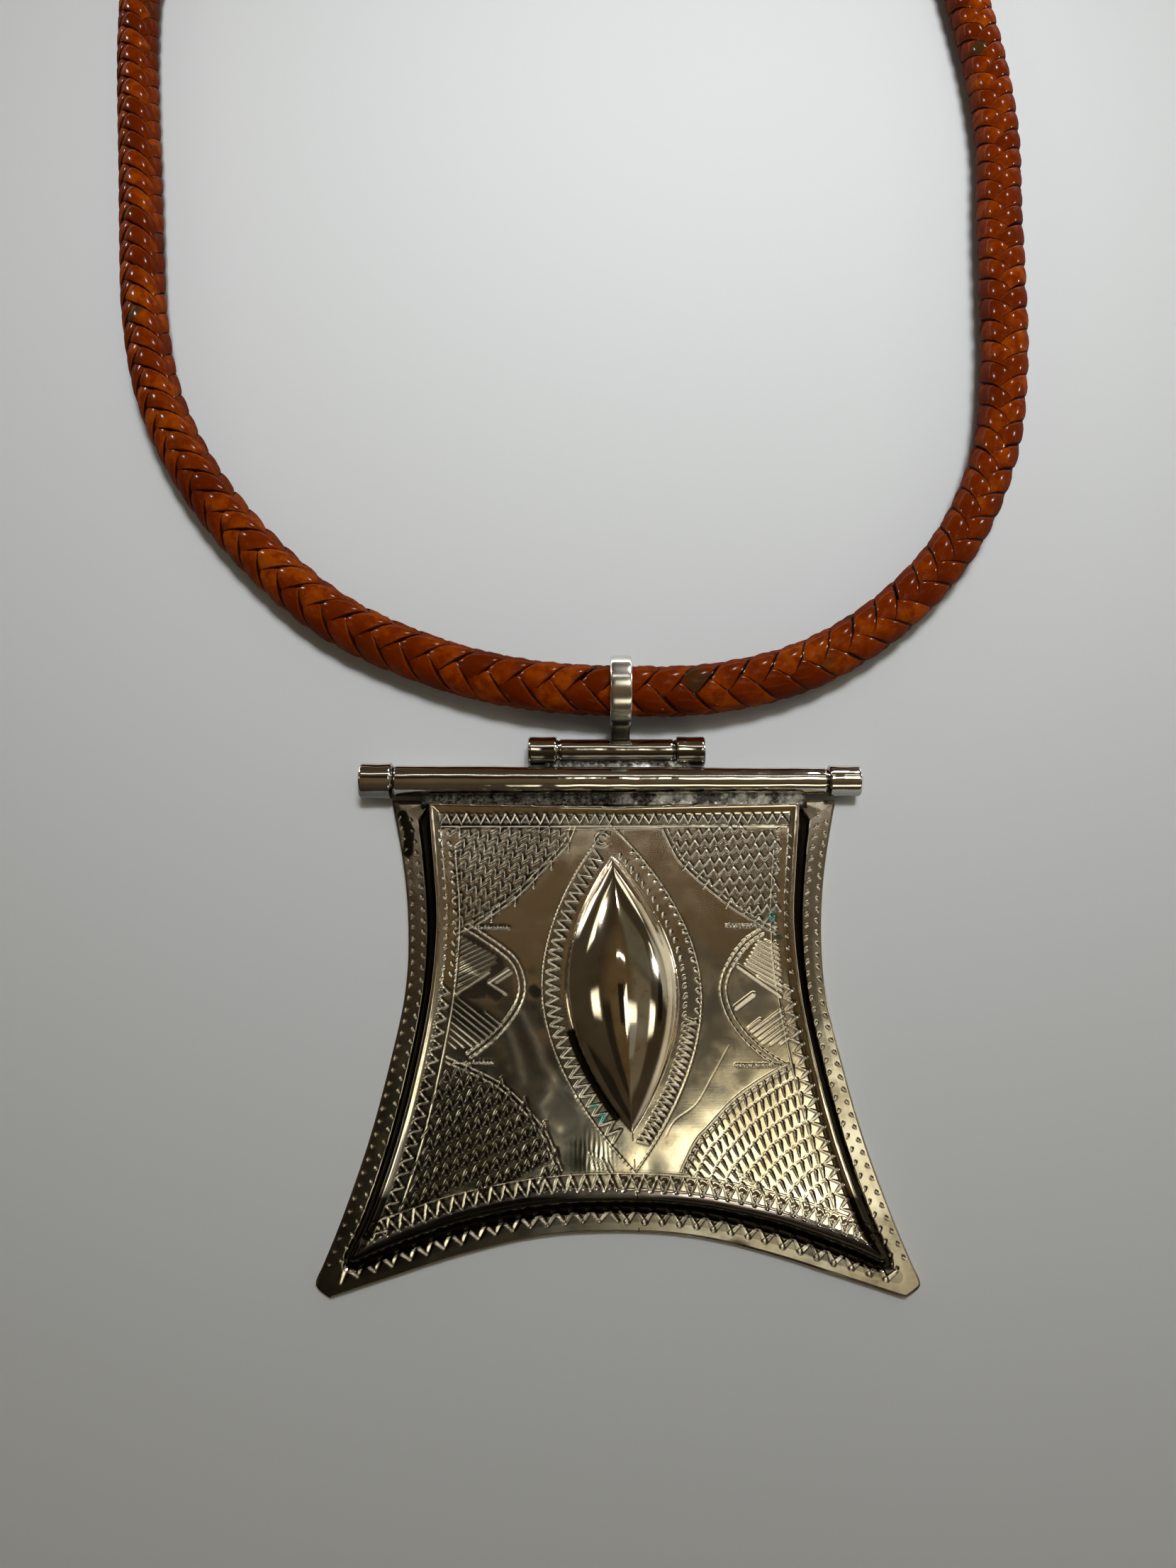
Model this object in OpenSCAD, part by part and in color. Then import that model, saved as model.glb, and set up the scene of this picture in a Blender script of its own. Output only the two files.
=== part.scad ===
// Tuareg amulet necklace: a silver box pendant on a round plaited leather cord,
// lying on a table with its neck loop open. +Y runs from the pendant to the back
// of the neck, +Z is up, and z = 0 is the surface that the necklace lies on.
// The origin is on the flat back of the pendant's plate.

/* [Plate] */
// Half of the width of the plate along the tube
plate_top_half = 31; // [30:0.5:32]
// Distance from the origin to the plate's top edge
plate_top_y = 27.2; // [27:0.1:27.4]
// Thickness of the flat back sheet
back_t = 0.7; // [0.6:0.1:0.8]
// Height of the flat rim round the raised panel
rim_z = 1.2; // [1.1:0.1:1.4]
// Height of the rolled ridge round the raised panel
ridge_z = 4; // [3.6:0.1:4.4]
// How far the panel lies below the ridge
panel_dip = 0.35; // [0.2:0.05:0.5]
// Thickness of the pressed front sheet
front_t = 0.7; // [0.6:0.1:0.8]

/* [Boss] */
// Length of the pointed boss in the middle of the panel
boss_l = 36; // [34:0.5:38]
// Width of the boss
boss_w = 14.6; // [13.5:0.1:15.5]
// Height of the boss over the panel
boss_h = 4.2; // [3:0.1:5]
// Turn of the boss from the pendant's long axis
boss_turn = 3.5; // [0:0.5:5]

/* [Tubes] */
// Length of the long tube, over its collars
long_tube_l = 69.6; // [68:0.2:71]
// Radius of the long tube at its left end
long_tube_r1 = 2.2; // [2.1:0.05:2.3]
// Radius of the long tube at its right end
long_tube_r2 = 1.8; // [1.7:0.05:2]
// Length of the short tube, over its collars
short_tube_l = 24.8; // [24:0.2:26]
// Radius of the short tube
short_tube_r = 1.8; // [1.7:0.05:1.9]
// How far a collar stands out from its tube
collar_t = 0.35; // [0.25:0.05:0.4]
// Width of the long tube's collars
long_collar_w = 4.4; // [4:0.1:5]
// Width of the short tube's collars
short_collar_w = 4; // [3.5:0.1:4.5]
// Wall of both tubes
tube_wall = 0.6; // [0.5:0.05:0.7]

/* [Bail] */
// Width of the bail's strip
bail_w = 2.8; // [2.4:0.1:3.2]
// Thickness of the bail's strip
bail_t = 0.9; // [0.8:0.05:1]
// Gap between the bail and the cord
bail_gap = 0.35; // [0.3:0.05:0.4]

/* [Cord] */
// Diameter of the plaited cord
cord_d = 7.5; // [7.3:0.1:7.6]

/* [Clasp] */
// Length of the barrel clasp
clasp_l = 18; // [16:1:20]
// Depth of the socket at each end of the clasp
clasp_socket = 6; // [5:0.5:7]
// Wall of the clasp
clasp_wall = 0.8; // [0.7:0.1:1]

/* [Hidden] */

silver = [0.62, 0.58, 0.5];
leather = [0.55, 0.27, 0.1];
round_fn = 64;
clearance = 0.12;
floor_gap = 0.05;
cord_r = cord_d / 2;

// Places of the tubes and of the bail
long_tube_y = 29.5;
long_tube_z = long_tube_r1 + collar_t + 0.1;
short_tube_y = 34;
short_tube_z = long_tube_z - 0.2;
bail_x = 1;
bail_y = 42.3;
bail_in_r = cord_r + bail_gap;
bail_out_r = bail_in_r + bail_t;
bail_z = bail_out_r + floor_gap;
clasp_in_r = cord_r + clearance;
clasp_out_r = clasp_in_r + clasp_wall;
clasp_z = clasp_out_r + floor_gap;

// Right half of the plate's outline from the top corner down: [x, y]
plate_side = [
    [plate_top_half, plate_top_y], [28.7, 17], [27.6, 8], [27.6, 0],
    [29, -9], [31, -18.5], [33.6, -27.5], [35.6, -33.2]];
plate_tip = [[35.6, -33.2], [36.2, -35.2], [34.4, -36.6]];
plate_foot = [[34.4, -36.6], [28, -34.6], [19.5, -32], [12, -30.2], [6, -29.4], [0, -29.2]];

// Right half of the ridge round the raised panel, with the same stretches: [x, y]
ridge_top_y = 25.2;
ridge_side = [
    [25.4, 25.7], [24.3, 17], [23.5, 9], [23.8, 0],
    [25, -9], [26.9, -18.5], [29.4, -27], [31.4, -31.4]];
ridge_tip = [[31.4, -31.4], [31.8, -32.4], [31, -32.4]];
ridge_foot = [[31, -32.4], [27, -30.7], [19.5, -28.2], [12, -26.6], [6, -25.9], [0, -25.7]];

// Steps along each stretch of half an outline
top_steps = 6;
side_steps = 14;
tip_steps = 3;
foot_steps = 10;

// A smooth curve through a short list of points
function spline(a, b, c, d, t) =
    0.5 * (2 * b + (c - a) * t + (2 * a - 5 * b + 4 * c - d) * t * t
    + (3 * b - a - 3 * c + d) * t * t * t);
function along(list, u) =
    let (last = len(list) - 1, i = min(floor(u * last), last - 1), t = u * last - i)
    spline(list[max(i - 1, 0)], list[i], list[i + 1], list[min(i + 2, last)], t);
function stretch(list, steps) = [for (i = [0:steps - 1]) along(list, i / steps)];

// The right half of an outline, from the middle of its top to the middle of its foot
function half_outline(top_mid, side, tip, foot) = concat(
    stretch([top_mid, side[0]], top_steps), stretch(side, side_steps),
    stretch(tip, tip_steps), stretch(foot, foot_steps), [foot[len(foot) - 1]]);
function whole(half) = concat(
    half, [for (i = [len(half) - 2:-1:1]) [-half[i][0], half[i][1]]]);

rim = whole(half_outline([0, plate_top_y], plate_side, plate_tip, plate_foot));
ridge = whole(half_outline([0, ridge_top_y], ridge_side, ridge_tip, ridge_foot));
count = len(rim);

// The boss is a pointed oval: two arcs that meet at its ends
function boss_half_width(y) = boss_w / 2 * (1 - pow(abs(2 * y / boss_l), 1.9));
function boss_point(i) =
    let (f = i / count, turn = f * 360, y = boss_l / 2 * cos(turn),
        side = f < 0.5 ? 1 : -1)
    [side * boss_half_width(y), y];
boss = [for (i = [0:count - 1]) boss_point(i)];
function turned(p, a) = [p[0] * cos(a) - p[1] * sin(a), p[0] * sin(a) + p[1] * cos(a)];

// One ring of the pressed sheet: w = 0 is the rim, 1 the ridge, 2 the foot of the boss
function ring(w, z) = [for (i = [0:count - 1])
    let (foot = turned(boss[i], boss_turn),
        p = w < 1 ? rim[i] * (1 - w) + ridge[i] * w : ridge[i] * (2 - w) + foot * (w - 1))
    [p[0], p[1], z]];
// One ring of the boss: sx and sy shrink it towards its ridge line
function boss_ring(sx, sy, z) = [for (i = [0:count - 1])
    let (p = turned([boss[i][0] * sx, boss[i][1] * sy], boss_turn)) [p[0], p[1], z]];

panel_z = ridge_z - panel_dip;
sunk = 0.2;
outer_rings = [
    boss_ring(0.1, 0.35, panel_z + boss_h),
    boss_ring(0.35, 0.62, panel_z + boss_h * 0.9),
    boss_ring(0.62, 0.82, panel_z + boss_h * 0.66),
    boss_ring(0.85, 0.94, panel_z + boss_h * 0.34),
    ring(2, panel_z),
    ring(1.85, panel_z - 0.05),
    ring(1.5, panel_z),
    ring(1.1, panel_z),
    ring(1.04, ridge_z - 0.05),
    ring(1, ridge_z),
    ring(0.95, ridge_z - 0.35),
    ring(0.9, ridge_z - 1.3),
    ring(0.87, rim_z - 0.2),
    ring(0.66, rim_z - 0.25),
    ring(0.62, rim_z),
    ring(0.04, rim_z),
    ring(0, rim_z - 0.15),
    ring(0, back_t - sunk)];
inner_rings = [
    ring(0.95, back_t - sunk),
    ring(1, ridge_z - 1.5),
    ring(1.06, panel_z - front_t),
    ring(1.9, panel_z - front_t),
    boss_ring(0.8, 0.9, panel_z - front_t + 0.2),
    boss_ring(0.6, 0.75, panel_z + boss_h * 0.5 - front_t * 0.7),
    boss_ring(0.3, 0.5, panel_z + boss_h * 0.82 - front_t)];

// A closed skin over a stack of rings, with a flat cap at each end
module skin(rings) {
    last = len(rings) - 1;
    points = [for (r = rings) each r];
    side = [for (k = [0:last - 1], i = [0:count - 1])
        let (a = k * count + i, b = k * count + (i + 1) % count)
        each [[a, b + count, b], [a, a + count, b + count]]];
    caps = [[for (i = [0:count - 1]) i], [for (i = [count - 1:-1:0]) last * count + i]];
    polyhedron(points, concat(side, caps), convexity = 8);
}

// A tube between two stations of x, with a radius at each
module tube_x(x1, x2, r1, r2) {
    translate([x1, 0, 0]) rotate([0, 90, 0])
        cylinder(h = x2 - x1, r1 = r1, r2 = r2, $fn = round_fn);
}

module back_sheet() {
    linear_extrude(back_t) polygon([for (p = ring(-0.06, 0)) [p[0], p[1]]]);
}

module long_tube() {
    half = long_tube_l / 2;
    translate([-0.5, long_tube_y, long_tube_z]) {
        tube_x(-half, half, long_tube_r1, long_tube_r2);
        tube_x(-half, long_collar_w - half, long_tube_r1 + collar_t, long_tube_r1 + collar_t);
        tube_x(half - long_collar_w, half, long_tube_r2 + collar_t, long_tube_r2 + collar_t);
    }
}

module short_tube() {
    half = short_tube_l / 2;
    translate([0.4, short_tube_y, short_tube_z]) {
        tube_x(-half, half, short_tube_r, short_tube_r);
        for (x = [-half, half - short_collar_w])
            tube_x(x, x + short_collar_w, short_tube_r + collar_t, short_tube_r + collar_t);
    }
}

// Where the solder has filled the seams between plate, tubes and bail
module solder() {
    translate([-27, 25.8, 0.3]) cube([54, 3, 2.2]);
    translate([-10, long_tube_y, short_tube_z - 0.8]) cube([21, 4, 1.5]);
    translate([bail_x - 1.1, short_tube_y + 1, short_tube_z - 0.6])
        cube([2.2, bail_y - bail_in_r - 0.3 - short_tube_y - 1, 2.4]);
}

module bail_ring(r, w) {
    translate([bail_x - w / 2, bail_y, bail_z]) tube_x(0, w, r, r);
}

module amulet() {
    color(silver) difference() {
        union() {
            back_sheet();
            skin(concat(outer_rings, inner_rings));
            long_tube();
            short_tube();
            solder();
            bail_ring(bail_out_r, bail_w);
        }
        translate([-0.5, long_tube_y, long_tube_z])
            tube_x(-long_tube_l, long_tube_l, long_tube_r2 - tube_wall, long_tube_r2 - tube_wall);
        translate([0.4, short_tube_y, short_tube_z])
            tube_x(-short_tube_l, short_tube_l, short_tube_r - tube_wall, short_tube_r - tube_wall);
        bail_ring(bail_in_r, bail_w + 4);
    }
}

// Route of the cord's middle, from one end of the clasp round to the other: [x, y, z]
flat_z = cord_r + floor_gap;
clasp_x = -9;
clasp_y = 262;
cord_end = clasp_l / 2 - clasp_socket + clearance;
cord_route = [
    [clasp_x - cord_end, clasp_y, clasp_z], [clasp_x - cord_end - 7, clasp_y, clasp_z],
    [-35, 260, 4.2], [-53, 254, flat_z], [-69, 244, flat_z], [-81, 230, flat_z],
    [-87.5, 213, flat_z], [-89, 196, flat_z], [-87.5, 179, flat_z], [-85, 162, flat_z],
    [-82.2, 145, flat_z], [-79.5, 128, flat_z], [-76.5, 111, flat_z], [-71.8, 94.9, flat_z],
    [-64, 80, flat_z], [-53.5, 66.6, flat_z], [-40.8, 55.1, flat_z], [-26, 47.6, 4],
    [-12.5, 43.6, 4.6], [bail_x, bail_y, bail_z], [14.6, 43, 4.6], [28.4, 47.2, 4],
    [41.2, 55.8, flat_z], [52.1, 68.2, flat_z], [59.8, 84.1, flat_z], [63.5, 101.1, 3.9],
    [65.5, 118.1, 4], [67.2, 135.1, 4], [69.1, 152, 4], [69.4, 169, 4],
    [68.4, 186.9, 4], [66.5, 204, 3.9], [61, 220, flat_z], [51, 236, flat_z],
    [37, 249, flat_z], [20, 258, 4.2],
    [clasp_x + cord_end + 7, clasp_y, clasp_z], [clasp_x + cord_end, clasp_y, clasp_z]];
cord_sides = 12;

function unit(v) = v / norm(v);
// The ring round station i, square to the way that the route runs there
function cord_ring(i) =
    let (last = len(cord_route) - 1, here = cord_route[i],
        way = unit(cord_route[min(i + 1, last)] - cord_route[max(i - 1, 0)]),
        out = unit([way[1], -way[0], 0]), up = cross(out, way))
    [for (k = [0:cord_sides - 1])
        let (a = (k + 0.5) * 360 / cord_sides) here + cord_r * (cos(a) * out + sin(a) * up)];

module leather_cord() {
    last = len(cord_route) - 1;
    rings = [for (i = [0:last]) cord_ring(i)];
    side = [for (i = [0:last - 1], k = [0:cord_sides - 1])
        let (a = i * cord_sides + k, b = i * cord_sides + (k + 1) % cord_sides)
        each [[a, b, b + cord_sides], [a, b + cord_sides, a + cord_sides]]];
    caps = [[for (k = [cord_sides - 1:-1:0]) k], [for (k = [0:cord_sides - 1]) last * cord_sides + k]];
    color(leather) polyhedron([for (r = rings) each r], concat(side, caps), convexity = 6);
}

module barrel_clasp() {
    color(silver) translate([clasp_x, clasp_y, clasp_z]) difference() {
        tube_x(-clasp_l / 2, clasp_l / 2, clasp_out_r, clasp_out_r);
        tube_x(-clasp_l / 2 - 1, clasp_socket - clasp_l / 2, clasp_in_r, clasp_in_r);
        tube_x(clasp_l / 2 - clasp_socket, clasp_l / 2 + 1, clasp_in_r, clasp_in_r);
    }
}

leather_cord();
barrel_clasp();
amulet();
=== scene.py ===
"""Amulet necklace: an engraved silver plate on a plaited leather cord, lying on a pale floor."""

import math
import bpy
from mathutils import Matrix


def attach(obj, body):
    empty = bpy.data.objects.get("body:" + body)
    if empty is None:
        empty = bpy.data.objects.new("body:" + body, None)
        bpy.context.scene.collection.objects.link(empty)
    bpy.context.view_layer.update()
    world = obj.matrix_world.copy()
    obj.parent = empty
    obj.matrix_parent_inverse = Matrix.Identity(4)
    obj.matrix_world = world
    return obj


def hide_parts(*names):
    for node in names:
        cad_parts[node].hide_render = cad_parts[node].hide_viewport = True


bl_info = {
    "name": "Amulet Necklace",
    "version": (1, 0, 0),
    "blender": (4, 5, 0),
    "location": "View3D > Sidebar > Necklace",
    "description": "Dresses the necklace's fixed frame in silver and plaited leather",
    "category": "Object",
}

import bmesh
import bpy
import numpy as np
from bpy.props import FloatProperty, FloatVectorProperty, PointerProperty
from mathutils import Vector

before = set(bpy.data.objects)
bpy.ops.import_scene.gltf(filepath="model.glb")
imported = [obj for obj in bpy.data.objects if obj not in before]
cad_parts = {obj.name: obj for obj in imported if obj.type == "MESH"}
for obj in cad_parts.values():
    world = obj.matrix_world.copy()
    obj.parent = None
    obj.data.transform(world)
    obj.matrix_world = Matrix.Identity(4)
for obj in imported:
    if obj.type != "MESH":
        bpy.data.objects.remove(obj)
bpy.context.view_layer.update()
MM = 0.001
SEED = 7

# Places in millimetres, as in the part's source: x to the right, y up the picture, z up.
PLATE_SIDE = [
    (31, 27.2), (28.7, 17), (27.6, 8), (27.6, 0), (29, -9), (31, -18.5), (33.6, -27.5), (35.6, -33.2),
]
PLATE_TIP = [(35.6, -33.2), (36.2, -35.2), (34.4, -36.6)]
PLATE_FOOT = [(34.4, -36.6), (28, -34.6), (19.5, -32), (12, -30.2), (6, -29.4), (0, -29.2)]
RIDGE_TOP = 25.2
RIDGE_SIDE = [
    (25.4, 25.7), (24.3, 17), (23.5, 9), (23.8, 0), (25, -9), (26.9, -18.5), (29.4, -27), (31.4, -31.4),
]
RIDGE_TIP = [(31.4, -31.4), (31.8, -32.4), (31, -32.4)]
RIDGE_FOOT = [(31, -32.4), (27, -30.7), (19.5, -28.2), (12, -26.6), (6, -25.9), (0, -25.7)]

# The cord's way between the clasp's ends: x, y, z, how far its plait is turned, in degrees, and its fullness
CORD_WAY = [
    (-12.12, 262, 4.72, 45, 1.0), (-19.12, 262, 4.72, 45, 1.0), (-35, 260, 4.2, 45, 1.0),
    (-53, 254, 3.8, 45, 1.0), (-69, 244, 3.8, 45, 1.0), (-81, 230, 3.8, 45, 1.0),
    (-87.5, 213, 3.8, 45, 0.99), (-89, 196, 3.8, 44, 0.98), (-87.5, 179, 3.8, 40, 0.98),
    (-85, 162, 3.8, 37, 0.98), (-82.2, 145, 3.8, 34, 0.98), (-79.5, 128, 3.8, 32, 0.98),
    (-76.5, 111, 3.8, 30, 0.98), (-71.8, 94.9, 3.8, 28, 0.98), (-64, 80, 3.8, 27, 0.99),
    (-53.5, 66.6, 3.8, 27, 1.0), (-40.8, 55.1, 3.8, 26, 1.0), (-26, 47.6, 4, 26, 1.0),
    (-12.5, 43.6, 4.6, 24, 1.0), (1, 42.3, 5.05, 22, 1.0), (14.6, 43, 4.6, 21, 1.0),
    (28.4, 47.2, 4, 20, 1.0), (41.2, 55.8, 3.8, 17, 0.98), (52.1, 68.2, 3.8, 10, 0.97),
    (59.8, 84.1, 3.8, 0, 0.98), (63.5, 101.1, 3.9, -8, 1.03), (65.5, 118.1, 4, -13, 1.05),
    (67.2, 135.1, 4, -15, 1.05), (69.1, 152, 4, -16, 1.05), (69.4, 169, 4, -17, 1.05),
    (68.4, 186.9, 4, -18, 1.05), (66.5, 204, 3.9, -18, 1.03), (61, 220, 3.8, -18, 1.0),
    (51, 236, 3.8, -18, 1.0), (37, 249, 3.8, -18, 1.0), (20, 258, 4.2, -18, 1.0),
    (1.12, 262, 4.72, -18, 1.0), (-5.88, 262, 4.72, -18, 1.0),
]
# The front sheet's foot, the back sheet's top, the size that the front's grid is counted from, and the oxide
# on the sheets' cut edges
FRONT_FOOT = 0.72
BACK_TOP = 0.7
PLATE_SPAN = (67, 61)
EDGE_OXIDE = 0.4
# The engraving's maps: lower left corner, upper right corner and distance between points
CHART_LOW = (-38.0, -38.0)
CHART_HIGH = (38.0, 29.0)
CHART_STEP = 0.05
BOSS_MIDDLE = (0.75, 0.1)
# How blunt the boss's two tips are
BOSS_TIPS = 1.9
# The front sheet's height: outside, by its share of the way from the edge to the ridge's line; inside, by how
# far it is from that line
RIM_HEIGHTS = (
    [0, 0.03, 0.3, 0.60, 0.645, 0.68, 0.80, 0.87, 0.90, 0.93, 0.955, 0.975, 1.0],
    [1.08, 1.2, 1.22, 1.19, 1.1, 0.99, 0.95, 1.0, 1.35, 2.4, 3.3, 3.8, 3.98],
)
PANEL_HEIGHTS = ([0, 0.4, 0.75, 1.05, 1.35], [3.98, 3.97, 3.85, 3.71, 3.65])
# The boss's slopes in degrees, from its middle line, 0, to its foot, 1
BOSS_LEFT = ([0, 0.1, 0.5, 0.75, 0.88, 0.92, 0.96, 1.0], [2, 9, 25, 33, 37, 40, 60, 74])
BOSS_RIGHT = ([0, 0.1, 0.5, 0.72, 0.77, 0.80, 0.95, 0.97, 1.0], [2, 10, 26, 35, 37, 39.5, 41, 68, 74])

# Corner fields: arc, corner points, place of the dashes beside the arc, then the rows' turn, pitch, tooth
# pitch, height and lean, and how their teeth are cut; the last field has slits along its arc instead
# The left fields have duller cuts, and the lower left one blacker ones: painted shade on the left
CORNERS = [
    (
        [(-5.3, 22.3), (-6.5, 19.6), (-9.8, 15.9), (-13.3, 12.2), (-17.9, 8.8), (-20.9, 7.4)],
        [(-21.3, 9.5), (-21.6, 16), (-22.1, 22.2)],
        -0.6, (-0.25, 1.5, 1.35, 1.15, 0.25), {"thick": 0.38, "black": 0.8, "fresh": 0.62},
    ),
    (
        [(6.6, 21.9), (8.6, 17.6), (12.0, 14.0), (15.6, 10.9), (19.7, 8.2), (21, 7.4)],
        [(21.2, 9.5), (21.5, 16), (22.0, 22.2)],
        0.6, (0.12, 1.45, 1.35, 1.1, 0.2), {"thick": 0.4, "black": 0.8},
    ),
    (
        [(-21.4, -8.6), (-15.4, -11.3), (-12.5, -13.5), (-9.6, -16.6), (-8.4, -18.4), (-6.8, -22.2)],
        [(-8.2, -22.9), (-12, -23.6), (-19.5, -25.1), (-26.6, -27.6), (-24.2, -19.5), (-22.4, -10.4)],
        -0.6, (0.40, 1.75, 1.3, 1.15, 0.6), {"thick": 0.44, "black": 0.95, "fresh": 0.32, "pits": 1.0},
    ),
    (
        [(21.7, -9.4), (17.5, -11.8), (14.4, -14), (11.4, -17), (9.6, -18.9), (7.7, -22.4)],
        [(9.2, -22.9), (12, -23.6), (19.5, -25.1), (26.6, -27.6), (24.2, -19.5), (22.4, -10.4)],
        0.6, None, None,
    ),
]
LENS_LEFT = [
    (-19.9, 8.2), (-17.4, 6.6), (-15.1, 5.0), (-13.4, 3.4), (-12.5, 0.9), (-12.7, -1.4), (-14.2, -4.0),
    (-16.4, -6.3), (-18.9, -8.2),
]
LENS_RIGHT = [
    (19.6, 7.4), (17.4, 5.9), (15.6, 3.6), (14.5, 1.4), (14.2, -0.6), (15.0, -3.4), (16.8, -6.0),
    (19.3, -8.3), (21.9, -9.8),
]
# Hatched patches: outline, turn, pitch, width
HATCHES = [
    ([(-20.8, 7.4), (-15.2, 4.2), (-16.2, 2.6), (-20.9, -0.4)], 0.47, 0.62, 0.34),
    ([(-20.8, -0.8), (-14.0, -4.3), (-17.6, -7.0), (-21.4, -7.6)], -0.66, 0.72, 0.36),
    ([(18.9, 6.7), (21.2, 5.9), (21.4, -0.6), (16.6, 2.9)], -0.52, 0.60, 0.54),
    ([(21.2, -2.4), (16.4, -4.9), (18.6, -7.2), (22.2, -7.0)], 0.62, 0.66, 0.34),
]
# Bars and chevrons in the half lenses: line and width
LENS_BARS = [
    ([(-13.9, 2.6), (-16.4, 0.9), (-14.1, -0.6)], 0.42),
    ([(-13.5, 2.2), (-15.5, 0.9)], 0.3),
    ([(17.7, -0.7), (15.4, -2.4)], 0.75),
    ([(-20.6, -0.6), (-16.4, 2.2)], 0.4),
    ([(15.9, 3.0), (21.2, -0.9)], 0.6),
]
# Dark places, soot and painted shade (the gap at the boss's lower left, the left half lens): line, width,
# amount
DARK_PLACES = [
    ([(-19.8, 1.4), (-17.0, 0.6), (-15.4, -0.6)], 1.8, 0.85), ([(-19.5, -0.6), (-17.4, -0.4)], 1.6, 0.85),
    ([(-10.6, -0.1), (-10.2, -0.5)], 1.5, 0.9), ([(-12.0, -1.6), (-11.2, -4.6)], 1.3, 0.5),
    ([(-29.4, 25.0), (-28.3, 22.5), (-28.3, 19.5)], 1.6, 1.0), ([(-30.3, 26.2), (-29.3, 23.6)], 1.0, 0.9),
    ([(-12.6, -4.5), (-11.6, -9.0), (-9.2, -13.5), (-6.6, -16.5)], 4.4, 0.7),
    ([(-19.3, 5.6), (-16.2, 3.0)], 3.8, 0.85), ([(-20.0, -2.6), (-16.2, -5.2)], 3.8, 0.85),
    ([(-14.6, 2.8), (-14.0, -2.0)], 2.0, 0.5),
]
# Four small arrows at the half lenses' ends: start and reach along x
ARROWS = [((-18.6, 8.2), 4.6), ((-20.4, -9.3), 4.8), ((19.6, 8.5), -5.0), ((20.6, -9.6), -5.6)]
# The bail's neck: place along y, width and height
BAIL_NECK = [(34.6, 2.6, 0.95), (35.6, 2.6, 1.05), (36.8, 2.65, 1.1), (38.3, 2.9, 1.2)]
# The two tubes: name, middle, length, radius at the left and at the right end, collar's length, and the place
# along y below which they get painted shade
TUBES = [
    ("long_tube", (-0.5, 29.5, 2.65), 69.6, 2.2, 1.8, 4.4, 28.0),
    ("short_tube", (0.4, 34.0, 2.45), 24.8, 1.8, 1.8, 4.0, 33.9),
]
# Runs of solder: name, lower left and upper right corner, foot and top
SOLDER_RUNS = [
    ("solder_top", (-27.0, 25.9), (27.0, 28.6), 0.9, 2.3),
    ("solder_web", (-10.0, 30.6), (11.0, 33.0), 1.2, 3.0),
]
BAIL_MIDDLE = (1.0, 42.3, 5.05)
BAIL_RADIUS = 4.55
# Where the bail's neck starts, and the place along y below which bail and neck get painted shade
NECK_FOOT = 1.85
BAIL_SHADE_BELOW = 38.8
CLASP_PLACE = (-9.0, 262.0, 4.72)
CLASP_LONG = 18.0
CLASP_RADIUS = 4.62
CLASP_BORE = 3.9
CLASP_SOCKET = 6.0
# Grooves turned into the clasp: distance from its end, half width and depth
CLASP_GROOVES = [(1.6, 0.22, 0.28), (2.3, 0.22, 0.28), (6.2, 0.18, 0.2), (9.0, 0.25, 0.4)]
CAMERA_PLACE = (-0.0036, -0.0332, 0.1544)
FLOOR_HALF = 1.6
# Lamps: name, kind, place, aim, power and size; only the glints show in varnish and silver
LAMPS = [
    ("soft_main", "SPOT", (0.115, 0.26, 0.88), (0.022, 0.175, 0), 47.0, 0.15),
    ("soft_fill", "POINT", (0.34, -0.02, 0.42), (0.03, 0.06, 0), 0.2, 0.15),
    ("glint_left", "POINT", (-1.85, 1.92, 1.37), (0, 0, 0), 170.0, 0.16),
    ("glint_right", "POINT", (2.53, 1.14, 1.14), (0, 0, 0), 140.0, 0.13),
    ("glint_top", "POINT", (0.80, 2.21, 1.86), (0, 0, 0), 150.0, 0.17),
]
# Soft patches overhead, by how far they lean from straight up: middle, half size, softness, colour
SKY_PATCHES = [
    ((-0.10, 0.06), (0.17, 0.13), 0.025, (0.014, 0.013, 0.010)),
    ((0.13, 0.15), (0.06, 0.07), 0.04, (0.055, 0.050, 0.040)),
    ((0.02, 0.44), (0.28, 0.012), 0.010, (4.5, 4.5, 4.4)),
    ((0.92, -1.85), (0.93, 0.40), 0.10, (1.5, 1.4, 1.0)),
    ((-1.85, 1.65), (0.20, 0.50), 0.12, (2.2, 2.1, 1.7)),
    ((2.3, 1.15), (0.08, 0.36), 0.06, (2.2, 2.1, 1.8)),
    ((2.4, 3.4), (0.5, 0.7), 0.20, (2.2, 2.2, 2.1)),
    ((0.95, -0.10), (0.30, 0.42), 0.25, (0.16, 0.14, 0.10)),
    ((1.0, 0.85), (0.42, 0.25), 0.20, (0.115, 0.105, 0.075)),
    ((4.1, 1.5), (1.0, 0.8), 0.40, (0.36, 0.34, 0.28)),
    ((-0.72, -0.35), (0.10, 0.35), 0.12, (0.02, 0.016, 0.011)),
    ((-2.4, -1.5), (0.8, 0.5), 0.30, (0.015, 0.012, 0.008)),
    ((-1.23, 0.05), (0.16, 0.07), 0.13, (2.5, 2.4, 2.0)),
    ((0.46, 0.01), (0.14, 0.035), 0.08, (2.2, 2.1, 1.7)),
    ((0.52, -0.16), (0.12, 0.10), 0.05, (0.25, 0.25, 0.23)),
    ((1.54, 0.0), (0.16, 0.10), 0.15, (2.4, 2.3, 1.9)),
    ((2.6, 0.4), (0.4, 0.35), 0.15, (0.008, 0.007, 0.005)),
]
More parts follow.
